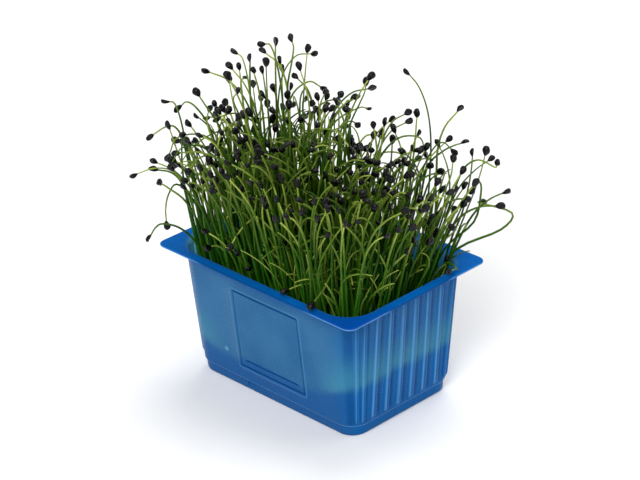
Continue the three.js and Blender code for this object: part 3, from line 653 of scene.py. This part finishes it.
def wall_heights():
    """Rows up the wall, close together at the grooves, the upper spot and the ends of the ribs."""
    low, high = FRAME_MIDDLE[1] - FRAME_HALF[1], FRAME_MIDDLE[1] + FRAME_HALF[1]
    rows = beside({low: 8, high: 8, low - RIDGE_OUT: 6, high + RIDGE_OUT: 6})
    rows += cluster(FRAME_LINE_HEIGHT, 0.55, 7) + cluster(SPOTS[0][1] + 0.35, 0.8, 6)
    fade = RIB_FADE / 2
    rows += cluster(RIB_BOTTOM + fade, fade, 4) + cluster(RIB_TOP - fade, fade, 5)
    return sorted(rows + list(np.arange(17.5, 40, 3.2)) + [44.5])


class Sheet:
    """The tray's sheet as rings in order, with each point's painted highlight (pale), darker mark (dark,
    mostly painted shade) and how inward it is (inner, which takes painted light).
    """

    def __init__(self):
        self.rings, self.kinds = [], defaultdict(list)

    def add(self, ring, pale=0.0, dark=0.0, inner=0.0):
        self.rings.append(ring)
        for key, value in {"pale": pale, "dark": dark, "inner": inner}.items():
            self.kinds[key].append(np.broadcast_to(value, len(ring)))

    def marks(self):
        """Each kind of mark for every point, and nothing for the two that close the sheet."""
        return {key: np.append(np.concatenate(values), [0, 0]) for key, values in self.kinds.items()}


def tray_sheet(outline):
    """Up the outside, round the rim, down the inside and across the floor."""
    sheet = Sheet()
    add_foot(sheet, outline)
    add_walls(sheet, outline)
    add_rim(sheet, outline)
    add_inside(sheet, outline)
    return sheet


def add_foot(sheet, outline):
    """The underside, the foot with its lower spot, and the step to the wall with a painted highlight along
    it.
    """
    for share in FLOOR_SHARES:
        sheet.add(outline.level(0, -FOOT_STEP - BASE_ROUND) * (share, share, 1))
    for turn in np.linspace(0, pi / 2, 6):
        height = BASE_ROUND * (1 - cos(turn))
        sheet.add(outline.level(height, -FOOT_STEP - BASE_ROUND * (1 - sin(turn))))
    for height in [1.4, *cluster(SPOTS[1][1], 0.85, 7)]:
        proud, pale, dark, clear = outline.moulding(height)
        sheet.add(outline.level(height, -FOOT_STEP, proud=proud), pale, dark, clear)
    for share in np.linspace(0, 1, 6):
        height = FOOT_HEIGHT - STEP_RISE / 2 + STEP_RISE * 1.6 * share
        # Painted highlight along the step.
        line = 0.8 * sin(pi * share)
        sheet.add(outline.level(height, -FOOT_STEP * (1 - smooth(0, 1, share))), line)


def add_walls(sheet, outline):
    for height in wall_heights():
        rib, rib_pale, rib_dark = outline.ribs(height)
        proud, pale, dark, clear = outline.moulding(height)
        ring = outline.level(height, 0, proud=rib + proud + outline.bow(height))
        sheet.add(ring, np.maximum(0.7 * rib_pale, pale), np.maximum(rib_dark, dark), clear)


def add_rim(sheet, outline):
    """The round under the rim, the rim's lip, its flat top and the round into the tray. The lip is lit at
    its corners and at the ends of each side, and darker between them."""
    under = TRAY_HEIGHT - WALL
    for turn in np.linspace(0, pi / 2, 5):
        height = under - RIM_ROUND * (1 - sin(turn))
        sheet.add(outline.level(height, RIM_ROUND * (1 - cos(turn))))
    wave = rim_wave(outline)
    lit = np.where(outline.on_corner, 1, smooth(0.3, 0, outline.middleness()))
    for turn in np.linspace(-pi / 2, pi / 2, 7):
        out = LIP * (cos(turn) - 1)
        height = TRAY_HEIGHT - LIP + LIP * sin(turn) + wave
        # The lip takes a painted highlight where it is lit and painted shade between.
        sheet.add(rim_ring(outline, out, height), lit * smooth(0.8, 1, cos(turn)), (1 - lit) * 0.8)
    sheet.add(rim_ring(outline, -LIP - 0.35, TRAY_HEIGHT + wave))
    radius = RIM_ROUND + WALL
    for turn in np.linspace(pi / 2, 0, 6):
        height = under - RIM_ROUND + radius * sin(turn)
        grow = RIM_ROUND - radius * cos(turn)
        ring = outline.level(min(height, TRAY_HEIGHT), grow, at=height)
        sheet.add(ring, inner=1 - sin(turn))


def add_inside(sheet, outline):
    """Down the inner walls, the step and the round at their foot, and across the floor."""
    for height in wall_heights()[::-2]:
        rib, pale, dark = outline.ribs(height)
        ring = outline.level(height, -WALL, proud=rib + outline.bow(height))
        sheet.add(ring, 0.4 * pale, 0.5 * dark, inner=1)
    for share in np.linspace(0, 1, 5):
        height = FOOT_HEIGHT + STEP_RISE * (1.5 - 1.4 * share)
        sheet.add(outline.level(height, -WALL - FOOT_STEP * smooth(0, 1, share)), inner=1)
    foot = -FOOT_STEP - WALL
    for turn in np.linspace(pi / 2, 0, 4):
        height = WALL + BASE_ROUND * (1 - cos(turn))
        sheet.add(outline.level(height, foot - BASE_ROUND * (1 - sin(turn))), inner=1)
    for share in FLOOR_SHARES[::-1]:
        sheet.add(outline.level(WALL, foot - BASE_ROUND) * (share, share, 1), inner=1)


def rim_ring(outline, grow, height):
    return outline.ring(RIM_HALF_LENGTH + grow, RIM_HALF_WIDTH + grow, RIM_CORNER + grow, height)


def rim_wave(outline):
    """The rim's outer edge isn't quite flat."""
    places = rim_ring(outline, 0, TRAY_HEIGHT)
    return np.array([RIM_WAVE * noise.noise(Vector(place) / RIM_WAVE_LENGTH) for place in places])


def bridged(rings, ends):
    """Points and faces of a surface through rings, with a point that closes it at each end."""
    count = len(rings[0])
    points = np.vstack([*rings, *ends])
    faces = []
    for k in range(len(rings) - 1):
        for i in range(count):
            j = (i + 1) % count
            faces.append((k * count + i, k * count + j, (k + 1) * count + j, (k + 1) * count + i))
    last = (len(rings) - 1) * count
    start, end = len(points) - 2, len(points) - 1
    for i in range(count):
        j = (i + 1) % count
        faces.append((start, j, i))
        faces.append((end, last + i, last + j))
    return points, faces


def join(points, faces, rings, ends):
    """Adds a surface through rings to others, and says how many points and faces that adds."""
    start = len(points)
    made, sides = bridged(rings, ends)
    points.extend(made)
    faces.extend(tuple(start + k for k in face) for face in sides)
    return len(made), len(sides)


def make_tray():
    sheet = tray_sheet(stations())
    points, faces = bridged(sheet.rings, [(0, 0, 0), (0, 0, WALL)])
    piece = mesh_object("blue_tray", points, faces, [plastic()], **sheet.marks())
    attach(piece, "root")
    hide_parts("tray")


# ---- growing medium


def crumble(place, scale):
    return noise.turbulence(Vector(place) / scale, 3, False) - 0.5


def medium_rings(outline, plugs):
    """The block's rings from its underside to the middle of its rough top."""
    inset = -WALL - MEDIUM_SIDE_GAP
    foot = inset - FOOT_STEP
    floor = WALL + MEDIUM_FLOOR_GAP
    rings = [outline.level(floor, foot - BASE_ROUND) * (share, share, 1) for share in (0.4, 0.8, 1)]
    rings.append(outline.level(floor + BASE_ROUND, foot))
    step = FOOT_HEIGHT + WALL
    sides = [(step, foot), (step + FOOT_STEP, inset)]
    sides += [(height, inset) for height in np.arange(step + 1.4, MEDIUM_TOP - MEDIUM_ROUND, 0.9)]
    for height, grow in sides:
        ring = outline.level(height, grow)
        dents = MEDIUM_DENT * np.array([abs(crumble(place, DENT_SCALE)) for place in ring])
        ring[:, 0] -= dents * outline.out_x
        ring[:, 1] -= dents * outline.out_y
        rings.append(ring)
    rim = outline.level(MEDIUM_TOP, inset - MEDIUM_ROUND / 2)
    for share in np.linspace(1, 0.02, MEDIUM_RINGS):
        ring = rim * (share, share, 1)
        ring[:, 2] = [medium_height(place, plugs) for place in ring]
        rings.append(ring)
    return rings


def medium_height(place, plugs):
    """The height of the medium's rough top, which dips round each plug."""
    lump = MEDIUM_LUMP * crumble((place[0], place[1], 0), LUMP_SCALE)
    crumb = MEDIUM_CRUMB * crumble((place[0], place[1], 9), CRUMB_SCALE)
    nearest = np.hypot(plugs[:, 0] - place[0], plugs[:, 1] - place[1]).min()
    return MEDIUM_TOP + lump + crumb - DIMPLE_DEPTH * (1 - smooth(0.45, 1, nearest / DIMPLE_RADIUS))


def make_medium(plugs, fibre):
    quarter = np.linspace(0, pi / 2, MEDIUM_STATIONS // 12)
    end_places = cluster(0, END_WALL_FLAT, MEDIUM_STATIONS // 7)
    side_places = cluster(0, LONG_WALL_FLAT, MEDIUM_STATIONS // 4)
    outline = Outline(end_places, list(quarter), side_places, side_places)
    rings = medium_rings(outline, plugs)
    middle = (0, 0, medium_height((0, 0, 0), plugs))
    points, faces = [], []
    join(points, faces, rings, [(0, 0, WALL + MEDIUM_FLOOR_GAP), middle])
    random = Random(SEED_NUMBER)
    for _ in range(CRUMBS):
        add_crumb(points, faces, plugs, random)
    for _ in range(FIBRES):
        add_fibre(points, faces, plugs, random)
    piece = mesh_object("peat_block", points, faces, [fibre])
    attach(piece, "root")
    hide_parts("growing_medium")


def place_on_medium(plugs, random):
    long, wide = (half(MEDIUM_TOP) - LITTER_MARGIN for half in (half_length, half_width))
    x, y = random.uniform(-long, long), random.uniform(-wide, wide)
    return Vector((x, y, medium_height((x, y), plugs)))


def add_crumb(points, faces, plugs, random):
    """A loose crumb: a lumpy ball, half sunk."""
    at = place_on_medium(plugs, random)
    size = random.uniform(*CRUMB_SIZE)
    rings = []
    for polar in [pi * level / CRUMB_LEVELS for level in range(1, CRUMB_LEVELS)]:
        ring = []
        for turn in turns(CRUMB_SIDES):
            out = Vector((sin(polar) * cos(turn), sin(polar) * sin(turn), -cos(polar)))
            ring.append(at + size * random.uniform(0.75, 1.1) * Vector((out.x, out.y, out.z * 0.7)))
        rings.append(ring)
    join(points, faces, rings, [at - Vector((0, 0, size * 0.6)), at + Vector((0, 0, size * 0.7))])


def add_fibre(points, faces, plugs, random):
    """A short bent fibre that lies on the surface."""
    at = place_on_medium(plugs, random)
    heading, bend = random.uniform(0, tau), random.uniform(-0.5, 0.5)
    path = []
    for step in range(6):
        path.append(at + Vector((0, 0, 0.25 + 0.2 * sin(step))))
        at = at + random.uniform(0.7, 1.1) * Vector((cos(heading), sin(heading), 0))
        heading += bend
    join(points, faces, tube_rings(path, [FIBRE_RADIUS] * len(path), 5, 0), [path[0], path[-1]])


# ---- sprouts of the frame


def merged_mesh(mesh):
    """A mesh's places in millimetres, with those that are the same taken as one, and which ones an edge
    joins each to."""
    keys, places, merged = {}, [], []
    for vertex in mesh.vertices:
        key = tuple(round(c / MM, 3) for c in vertex.co)
        if key not in keys:
            keys[key] = len(places)
            places.append(Vector(key))
        merged.append(keys[key])
    near = defaultdict(set)
    for edge in mesh.edges:
        a, b = (merged[k] for k in edge.vertices)
        if a != b:
            near[a].add(b)
            near[b].add(a)
    return places, near


def rings_from(tip, near):
    """The rings of a stem from its seed's tip down: each is the new places that edges reach."""
    rings, seen = [{tip}], {tip}
    while rings[-1]:
        rings.append(set().union(*(near[k] for k in rings[-1])) - seen)
        seen |= rings[-1]
    return rings


def stems_of(name):
    """The sprouts of one CAD node, each as its places from the root plug to where its seed starts. A seed
    has four edges at its tip, then two rings of four, and three-sided rings follow down its stem."""
    places, near = merged_mesh(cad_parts[name].data)
    stems = []
    for tip in range(len(places)):
        rings = rings_from(tip, near) if len(near[tip]) == 4 else []
        if [len(ring) for ring in rings[1:5]] != [4, 4, 3, 3]:
            continue
        path = []
        for ring in rings[3:]:
            centre = sum((places[k] for k in ring), Vector()) / len(ring)
            path.append(centre)
            if len(ring) != 3 or centre.z < MEDIUM_TOP:
                break
        stems.append(path[::-1])
    return stems


def plug_place(name):
    """The middle of a bunch's root plug, from its lowest points."""
    places = [vertex.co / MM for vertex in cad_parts[name].data.vertices]
    lowest = min(place.z for place in places)
    foot = {tuple(round(c, 3) for c in place) for place in places if place.z < lowest + 0.1}
    return np.mean(list(foot), axis=0)


def curve_through(places, segments):
    """Points on the smooth curve that passes through all places."""
    padded = [2 * places[0] - places[1], *places, 2 * places[-1] - places[-2]]
    last = len(places) - 1
    points = []
    for step in range(segments + 1):
        t = step / segments * last
        k = min(int(t), last - 1)
        u = t - k
        a, b, c, d = padded[k : k + 4]
        points.append(
            b
            + 0.5 * u * (c - a)
            + u * u * (a - 2.5 * b + 2 * c - 0.5 * d)
            + 0.5 * u * u * u * (3 * b - a - 3 * c + d)
        )
    return points


def beside_plug(plug, out, turn, height):
    return Vector((plug[0] + out * cos(turn), plug[1] + out * sin(turn), height))


def rooted(path, plug):
    """The path, started a little below the top of its plug."""
    foot, second = path[0], path[1]
    if hypot(foot.x - plug[0], foot.y - plug[1]) > PLUG_RADIUS or abs(foot.z - PLUG_TOP) > 1:
        foot = Vector((plug[0], plug[1], PLUG_TOP)).lerp(Vector((foot.x, foot.y, PLUG_TOP)), 0.4)
    start = foot + (foot - second).normalized() * ROOT_DEPTH
    return [start, *path[1:]]


# ---- more sprouts between them


def drawn_bend(seeded, loose, front, random):
    """How far a sprout's tip turns over, and the share of its length where that starts. Of those with a
    seed, a third bend a little, more nod and a quarter hook down, and all do less so at the near corner.
    The others bend from lower down, and a loose one from the lowest."""
    if not seeded:
        curl = random.choice([random.uniform(*curls) for curls in BARE_CURLS])
        return curl, random.uniform(*(LOOSE_CURL_START if loose else BARE_CURL_START))
    kind = random.random()
    curls = next(curls for most, curls in SEEDED_CURLS.items() if kind < most)
    curl = random.uniform(*curls) * (1 - STRAIGHTER_IN_FRONT * front)
    return curl, random.uniform(*SEEDED_CURL_START)


def grow(root, top, seeded, loose, random):
    """A sprout from its root up to about the height `top`: it leans out, bows and turns over at its tip.
    At the near corner, sprouts fan out sideways and wander more, and loose ones do so most."""
    side, away = on_diagonal(root)
    front = float(smooth(*FANNED, away))
    outward = Vector((LEAN * root.x / FULL_LEAN_AT[0], LEAN * root.y / FULL_LEAN_AT[1]))
    outward += FAN * side * front * Vector((cos(DIAGONAL), sin(DIAGONAL)))
    wander = LOOSE_WANDER if loose else 1 if seeded else 1 + FRONT_WANDER * front
    foot, upper = (outward * pull + wander * drawn_lean(random) for pull in LEAN_PULLS)
    curl, start = drawn_bend(seeded, loose, front, random)
    heading = atan2(upper.y, upper.x) + random.gauss(0, TURN_VARIATION)
    twist = random.gauss(0, TWIST_VARIATION)
    sway = random.uniform(0, LOOSE_SWAY if loose else SWAY + FRONT_SWAY * front)
    phase = random.uniform(0, tau)
    ends = [1 - (1 - k / STEM_SEGMENTS) ** 1.5 for k in range(STEM_SEGMENTS + 1)]
    moves = []
    for low, high in zip(ends, ends[1:]):
        share = (low + high) / 2
        over = max(share - start, 0) / (1 - start)
        slope = foot.lerp(upper, share)
        wave = sway * Vector((sin(phase + 8 * share), cos(1.7 * phase + 7 * share)))
        upright = Vector((*(slope + wave), 1)).normalized()
        across = heading + twist * over
        bend = Quaternion((-sin(across), cos(across), 0), curl * over)
        moves.append((high - low) * (bend @ upright))
    return path_by(moves, root, top)


def path_by(moves, root, top):
    """The points that moves lead to from a root, with the moves sized so that the highest is at `top`."""
    length = (top - root.z) / max(accumulate(move.z for move in moves))
    points = [root]
    for move in moves:
        points.append(points[-1] + move * length)
    return points


def on_diagonal(place):
    """How far a place is to the side and away, seen along the diagonal that faces the camera."""
    across, along = cos(DIAGONAL), sin(DIAGONAL)
    return place[0] * across + place[1] * along, place[1] * across - place[0] * along


def drawn_lean(random):
    return Vector((random.gauss(0, LEAN_VARIATION), random.gauss(0, LEAN_VARIATION)))


def outside_by(place):
    """How far a place is outside the tray's inner face at its height, negative inside."""
    height = min(place.z, TRAY_HEIGHT)
    radius = corner_radius(height) - WALL
    beyond_x = abs(place.x) - (half_length(height) - WALL - radius)
    beyond_y = abs(place.y) - (half_width(height) - WALL - radius)
    return hypot(max(beyond_x, 0), max(beyond_y, 0)) + min(max(beyond_x, beyond_y), 0) - radius


def tip_heading(points):
    return (points[-1] - points[-2]).normalized()


def seed_middle(points):
    return points[-1] + tip_heading(points) * SEED_LENGTH * 0.5


def cell_at(place):
    return tuple(floor(c / CELL) for c in place)


class Thicket:
    """The cells of space that sprouts already fill, and the middles of their seeds."""

    def __init__(self):
        self.filled = set()
        self.seeds = []

    def cells(self, points):
        found = []
        for a, b in zip(points, points[1:]):
            steps = max(1, ceil((b - a).length / CELL))
            for k in range(steps):
                at = a.lerp(b, k / steps)
                if at.z > CROWDED_FROM:
                    found.append(cell_at(at))
        return found

    def seed_cells(self, points):
        middle = seed_middle(points)
        offsets = [-CELL, 0, CELL]
        shifts = [Vector((i, j, k)) for i in offsets for j in offsets for k in offsets]
        return [cell_at(middle + shift) for shift in shifts]

    def add(self, points, seeded):
        self.filled.update(self.cells(points))
        if seeded:
            self.filled.update(self.seed_cells(points))
            self.seeds.append(seed_middle(points))

    def crowding(self, points, seeded):
        """How many of its cells are already filled. To reach far counts as well, and so does a seed that
        stands away from the loose clumps of the others."""
        taken = sum(cell in self.filled for cell in self.cells(points))
        reach = hypot(points[-1].x - points[0].x, points[-1].y - points[0].y)
        taken += OVERREACH_WEIGHT * max(0, reach - REACH_OUT)
        taken += OVERREACH_WEIGHT * max(0, outside_by(points[-1]) - PAST_WALL)
        if not seeded:
            return taken
        taken += SEED_WEIGHT * sum(cell in self.filled for cell in self.seed_cells(points))
        middle = seed_middle(points)
        nearest = min((middle - other).length for other in self.seeds)
        return taken + SEED_WEIGHT * abs(nearest - CLUMP_SPACING)


def clear_of_tray(points):
    """Whether the stem and its seed are inside the wall or over the rim, and the seed off the medium."""
    tip = points[-1] + tip_heading(points) * SEED_LENGTH
    places = [(point, STEM_ROOM) for point in points] + [(tip, SEED_ROOM), (points[-1], SEED_ROOM)]
    free = all(outside_by(place) < -room or place.z > TRAY_HEIGHT + room for place, room in places)
    return free and tip.z > LOWEST_SEED


class Patch:
    """One bunch's place in the stand: from 0 to 1, how far it is in each part. Its `crown` is the height
    that two thirds of its own sprouts reach."""

    def __init__(self, plug, crown):
        side, away = on_diagonal(plug)
        self.plug, self.crown = plug, crown
        self.front = smooth(*FRONT, away)
        self.end = smooth(*AT_END, abs(side))
        self.left = smooth(*AT_LEFT, side)
        self.right = smooth(*AT_RIGHT, side)
        self.tall = smooth(*TALL_CROWN, crown)

    def counts(self):
        """How many more sprouts it gets, and how many loose ones besides."""
        count = MORE_SPROUTS + (MORE_IN_FRONT - MORE_SPROUTS) * self.front
        count += (MORE_SPROUTS - count) * self.end
        thinned = 1 - FEWER_AT_RIGHT * self.right - FEWER_AT_LEFT * self.left
        return round(count * thinned), round(LOOSE_IN_FRONT * self.front * (1 - self.end))

    def seeded_share(self):
        share = SEEDED_SHARE + (SEEDED_IN_FRONT - SEEDED_SHARE) * self.front
        return share + (SEEDED_AT_LEFT - share) * self.left

    def drawn_root(self, random):
        """A place a little below the top of the plug."""
        turn = random.uniform(0, tau)
        spread = ROOT_SPREAD - CLOSER_ROOTS * max(self.end, self.right)
        return beside_plug(self.plug, spread * sqrt(random.random()), turn, PLUG_TOP - ROOT_DEPTH)

    def drawn_top(self, seeded, short, random):
        """The height that a sprout grows up to."""
        low = LEAST_REACH - LOWER_IN_FRONT * self.front
        high = SEEDED_REACH if seeded else BARE_REACH + HIGHER_IN_FRONT * self.front
        share = random.uniform(*(SHORT_REACH if short else (low, high)))
        share *= 1 - LOWER_IN_TALL * self.tall + HIGHER_AT_END * self.end + HIGHER_AT_LEFT * self.left
        return MEDIUM_TOP + (self.crown - MEDIUM_TOP) * share


def least_crowded(patch, seeded, loose, short, thicket, random):
    """The least crowded of a few sprouts drawn for a patch, or None where none is clear of the tray."""
    best, least = None, inf
    for _ in range(TRIES):
        root = patch.drawn_root(random)
        points = grow(root, patch.drawn_top(seeded, short or loose, random), seeded, loose, random)
        crowding = thicket.crowding(points, seeded)
        inside = max(outside_by(point) for point in points) < MOST_PAST_WALL
        if crowding < least and inside and clear_of_tray(points):
            best, least = points, crowding
    return best


def more_sprouts(patch, thicket, random):
    """The sprouts that fill a bunch, each with whether it has a seed and whether it is a loose one. Short
    ones have lost their seeds."""
    found = []
    count, slender = patch.counts()
    for number in range(count + slender):
        loose = number >= count
        short = random.random() < SHORT_SHARE
        seeded = not short and not loose and random.random() < patch.seeded_share()
        points = least_crowded(patch, seeded, loose, short, thicket, random)
        if points:
            thicket.add(points, seeded)
            found.append((points, seeded, loose))
    return found


# ---- sprout meshes


def tube_rings(path, radii, sides, roll):
    """Rings round a path, each turned from the one before by the least that the bend needs."""
    last = len(path) - 1
    tangent = (path[1] - path[0]).normalized()
    across = Vector((cos(roll), sin(roll), 0))
    across = (across - across.dot(tangent) * tangent).normalized()
    rings = []
    for k, (place, radius) in enumerate(zip(path, radii)):
        ahead = (path[min(k + 1, last)] - path[max(k - 1, 0)]).normalized()
        across = tangent.rotation_difference(ahead) @ across
        tangent = ahead
        up = tangent.cross(across)
        rings.append([place + radius * (cos(turn) * across + sin(turn) * up) for turn in turns(sides)])
    return rings


def seed_girth(along):
    """A drop's width along its length, 1 at its broadest. It draws in to the stem, and its end is round."""
    if along < SEED_BROADEST:
        return (1 - (1 - along / SEED_BROADEST) ** 1.7) ** 0.85
    return sqrt(1 - ((along - SEED_BROADEST) / (1 - SEED_BROADEST)) ** 2)


def seed_shape(random):
    """A flattened drop with a keel on one face, a dished other face and a few dents: rings of points round
    its long axis X."""
    dents = [(random.uniform(0, 10), random.uniform(0.04, 0.12)) for _ in range(2)]
    keel = random.uniform(0.15, 0.45)
    rings = []
    for level in range(1, SEED_RINGS + 1):
        along = 0.5 - 0.5 * cos(pi * level / (SEED_RINGS + 1))
        ring = []
        for turn in turns(SEED_SIDES):
            dent = sum(size * sin(3 * turn + shift + 5 * along) for shift, size in dents)
            out = seed_girth(along) * (1 + dent)
            y = cos(turn) * SEED_HALF_WIDTH
            z = sin(turn) * SEED_HALF_THICKNESS * (1 + keel * smooth(0.5, 1, sin(turn)))
            z *= 1 - DISH * smooth(0.3, 1, -sin(turn)) * sin(pi * along)
            ring.append(Vector((along * SEED_LENGTH, out * y, out * z)))
        rings.append(ring)
    return rings


class BunchMesh:
    """Collects the sprouts of one bunch as points, faces, materials and attributes. `along` runs from 0 at
    the root to 1 at the tip, and `tone` is one number for a sprout."""

    def __init__(self):
        self.points, self.faces, self.face_materials = [], [], []
        self.along, self.tone = [], []

    def add(self, rings, ends, material, along, tone):
        more_points, more_faces = join(self.points, self.faces, rings, ends)
        self.face_materials.extend([material] * more_faces)
        self.along.extend(along)
        self.tone.extend([tone] * more_points)

    def add_sprout(self, path, seeded, loose, random):
        segments = len(path) - 1
        shares = [k / segments for k in range(segments + 1)]
        size = random.uniform(*(LOOSE_SIZES if loose else STEM_SIZES))
        tip = STEM_TIP_RADIUS if seeded else BARE_TIP_RADIUS
        taper = SEEDED_TAPER if seeded else BARE_TAPER
        radii = [size * (STEM_RADIUS + (tip - STEM_RADIUS) * share**taper) for share in shares]
        rings = tube_rings(path, radii, STEM_SIDES, random.uniform(0, tau))
        reach = 1 if seeded or loose else BARE_ALONG
        along = [reach * share for share in shares for _ in range(STEM_SIDES)] + [0, reach]
        tone = random.uniform(LOOSE_TONE if loose else 0, 1)
        self.add(rings, [path[0], path[-1]], STEM_SLOT, along, tone)
        if seeded:
            self.add_seed(path, tone, random)

    def add_seed(self, path, tone, random):
        heading = tip_heading(path)
        turned = heading.to_track_quat("X", "Z") @ Quaternion((1, 0, 0), random.uniform(0, tau))
        size = random.uniform(*SEED_SIZES)
        start = path[-1] - heading * SEED_OVERLAP

        def placed(point):
            return start + turned @ (point * size)

        rings = [[placed(point) for point in ring] for ring in seed_shape(random)]
        ends = [placed(Vector((0, 0, 0))), placed(Vector((SEED_LENGTH, 0, 0)))]
        along = [1] * (SEED_RINGS * SEED_SIDES + 2)
        self.add(rings, ends, SEED_SLOT, along, tone)

    def add_plug(self, plug, random):
        """The root plug: a tapered lump of the medium, bound by roots."""
        rings = []
        for level in range(PLUG_LEVELS):
            share = level / (PLUG_LEVELS - 1)
            height = PLUG_TOP - PLUG_HEIGHT * (1 - share)
            radius = PLUG_TIP_RADIUS + (PLUG_RADIUS - PLUG_TIP_RADIUS) * share
            ring = []
            for turn in turns(PLUG_SIDES):
                ring.append(beside_plug(plug, radius * random.uniform(0.86, 1.02), turn, height))
            rings.append(ring)
        cap = [Vector((plug[0], plug[1], 0)).lerp(point, 0.5) for point in rings[-1]]
        for point in cap:
            point.z = PLUG_TOP + random.uniform(0.15, 0.55)
        rings.append(cap)
        ends = [(plug[0], plug[1], PLUG_TOP - PLUG_HEIGHT), (plug[0], plug[1], PLUG_TOP + 0.45)]
        self.add(rings, ends, PLUG_SLOT, [0] * (len(rings) * PLUG_SIDES + 2), 0.5)


def make_sprouts(names, plugs, fibre):
    random = Random(SEED_NUMBER)
    skins = [stem_skin(), seed_skin(), fibre]
    stems = {}
    thicket = Thicket()
    for name, plug in zip(names, plugs):
        curves = [curve_through(rooted(path, plug), STEM_SEGMENTS) for path in stems_of(name)]
        stems[name] = [(curve, True, False) for curve in curves]
        for curve in curves:
            thicket.add(curve, True)
    for name, plug in zip(names, plugs):
        tops = sorted(max(point.z for point in points) for points, *_ in stems[name])
        stems[name] += more_sprouts(Patch(plug, tops[len(tops) // 3]), thicket, random)
    for name, plug in zip(names, plugs):
        bunch = BunchMesh()
        bunch.add_plug(plug, random)
        for points, seeded, loose in stems[name]:
            bunch.add_sprout(points, seeded, loose, random)
        made = (bunch.points, bunch.faces, skins, bunch.face_materials)
        piece_name = name.replace("sprouts", "sprout_bunch")
        piece = mesh_object(piece_name, *made, along=bunch.along, tone=bunch.tone)
        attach(piece, "root")
        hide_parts(name)


# ---- camera, floor and light


def make_camera():
    """The camera looks along -back, turned by the roll, with the tray's base moved aside and down."""
    back = towards(CAMERA_AZIMUTH, CAMERA_ELEVATION)
    right = Vector((cos(CAMERA_AZIMUTH), sin(CAMERA_AZIMUTH), 0))
    up = back.cross(right)
    across = cos(CAMERA_ROLL) * right + sin(CAMERA_ROLL) * up
    upward = -sin(CAMERA_ROLL) * right + cos(CAMERA_ROLL) * up
    place = CAMERA_ASIDE * across + CAMERA_ABOVE * upward + CAMERA_DISTANCE * back
    camera = bpy.data.objects.new("camera", bpy.data.cameras.new("camera"))
    turned = Matrix((across, upward, back)).transposed().to_4x4()
    camera.matrix_world = Matrix.Translation(place * MM) @ turned
    camera.data.sensor_width = SENSOR_WIDTH
    camera.data.lens = FOCAL_PIXELS * SENSOR_WIDTH / IMAGE_WIDTH
    camera.data.clip_start, camera.data.clip_end = CAMERA_CLIP
    bpy.context.scene.collection.objects.link(camera)
    bpy.context.scene.camera = camera


def soft_light(name, azimuth, elevation, distance, size, power):
    """A square soft box that faces the tray."""
    light = bpy.data.lights.new(name, "AREA")
    light.energy, light.size = power, size
    lamp = bpy.data.objects.new(name, light)
    back = towards(radians(azimuth), radians(elevation))
    lamp.location = back * distance + Vector((0, 0, LIGHT_AIM))
    lamp.rotation_euler = back.to_track_quat("Z", "Y").to_euler()
    bpy.context.scene.collection.objects.link(lamp)


def make_stage():
    half = FLOOR_HALF
    corners = [(-half, -half, 0), (half, -half, 0), (half, half, 0), (-half, half, 0)]
    floor = mesh_object("floor", corners, [(0, 1, 2, 3)], [white_floor()])
    world = bpy.data.worlds.new("studio")
    world.use_nodes = True
    background = world.node_tree.nodes["Background"]
    background.inputs["Color"].default_value = (1, 1, 1, 1)
    background.inputs["Strength"].default_value = WORLD_LIGHT
    bpy.context.scene.world = world
    for name, settings in SOFT_BOXES.items():
        soft_light(name, *settings)
    bpy.context.scene.view_settings.view_transform = "Standard"


bunch_names = sorted(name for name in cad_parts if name.startswith("sprouts"))
plug_places = np.array([plug_place(name) for name in bunch_names])
medium_fibre = peat()
make_camera()
make_stage()
make_tray()
make_medium(plug_places, medium_fibre)
make_sprouts(bunch_names, plug_places, medium_fibre)
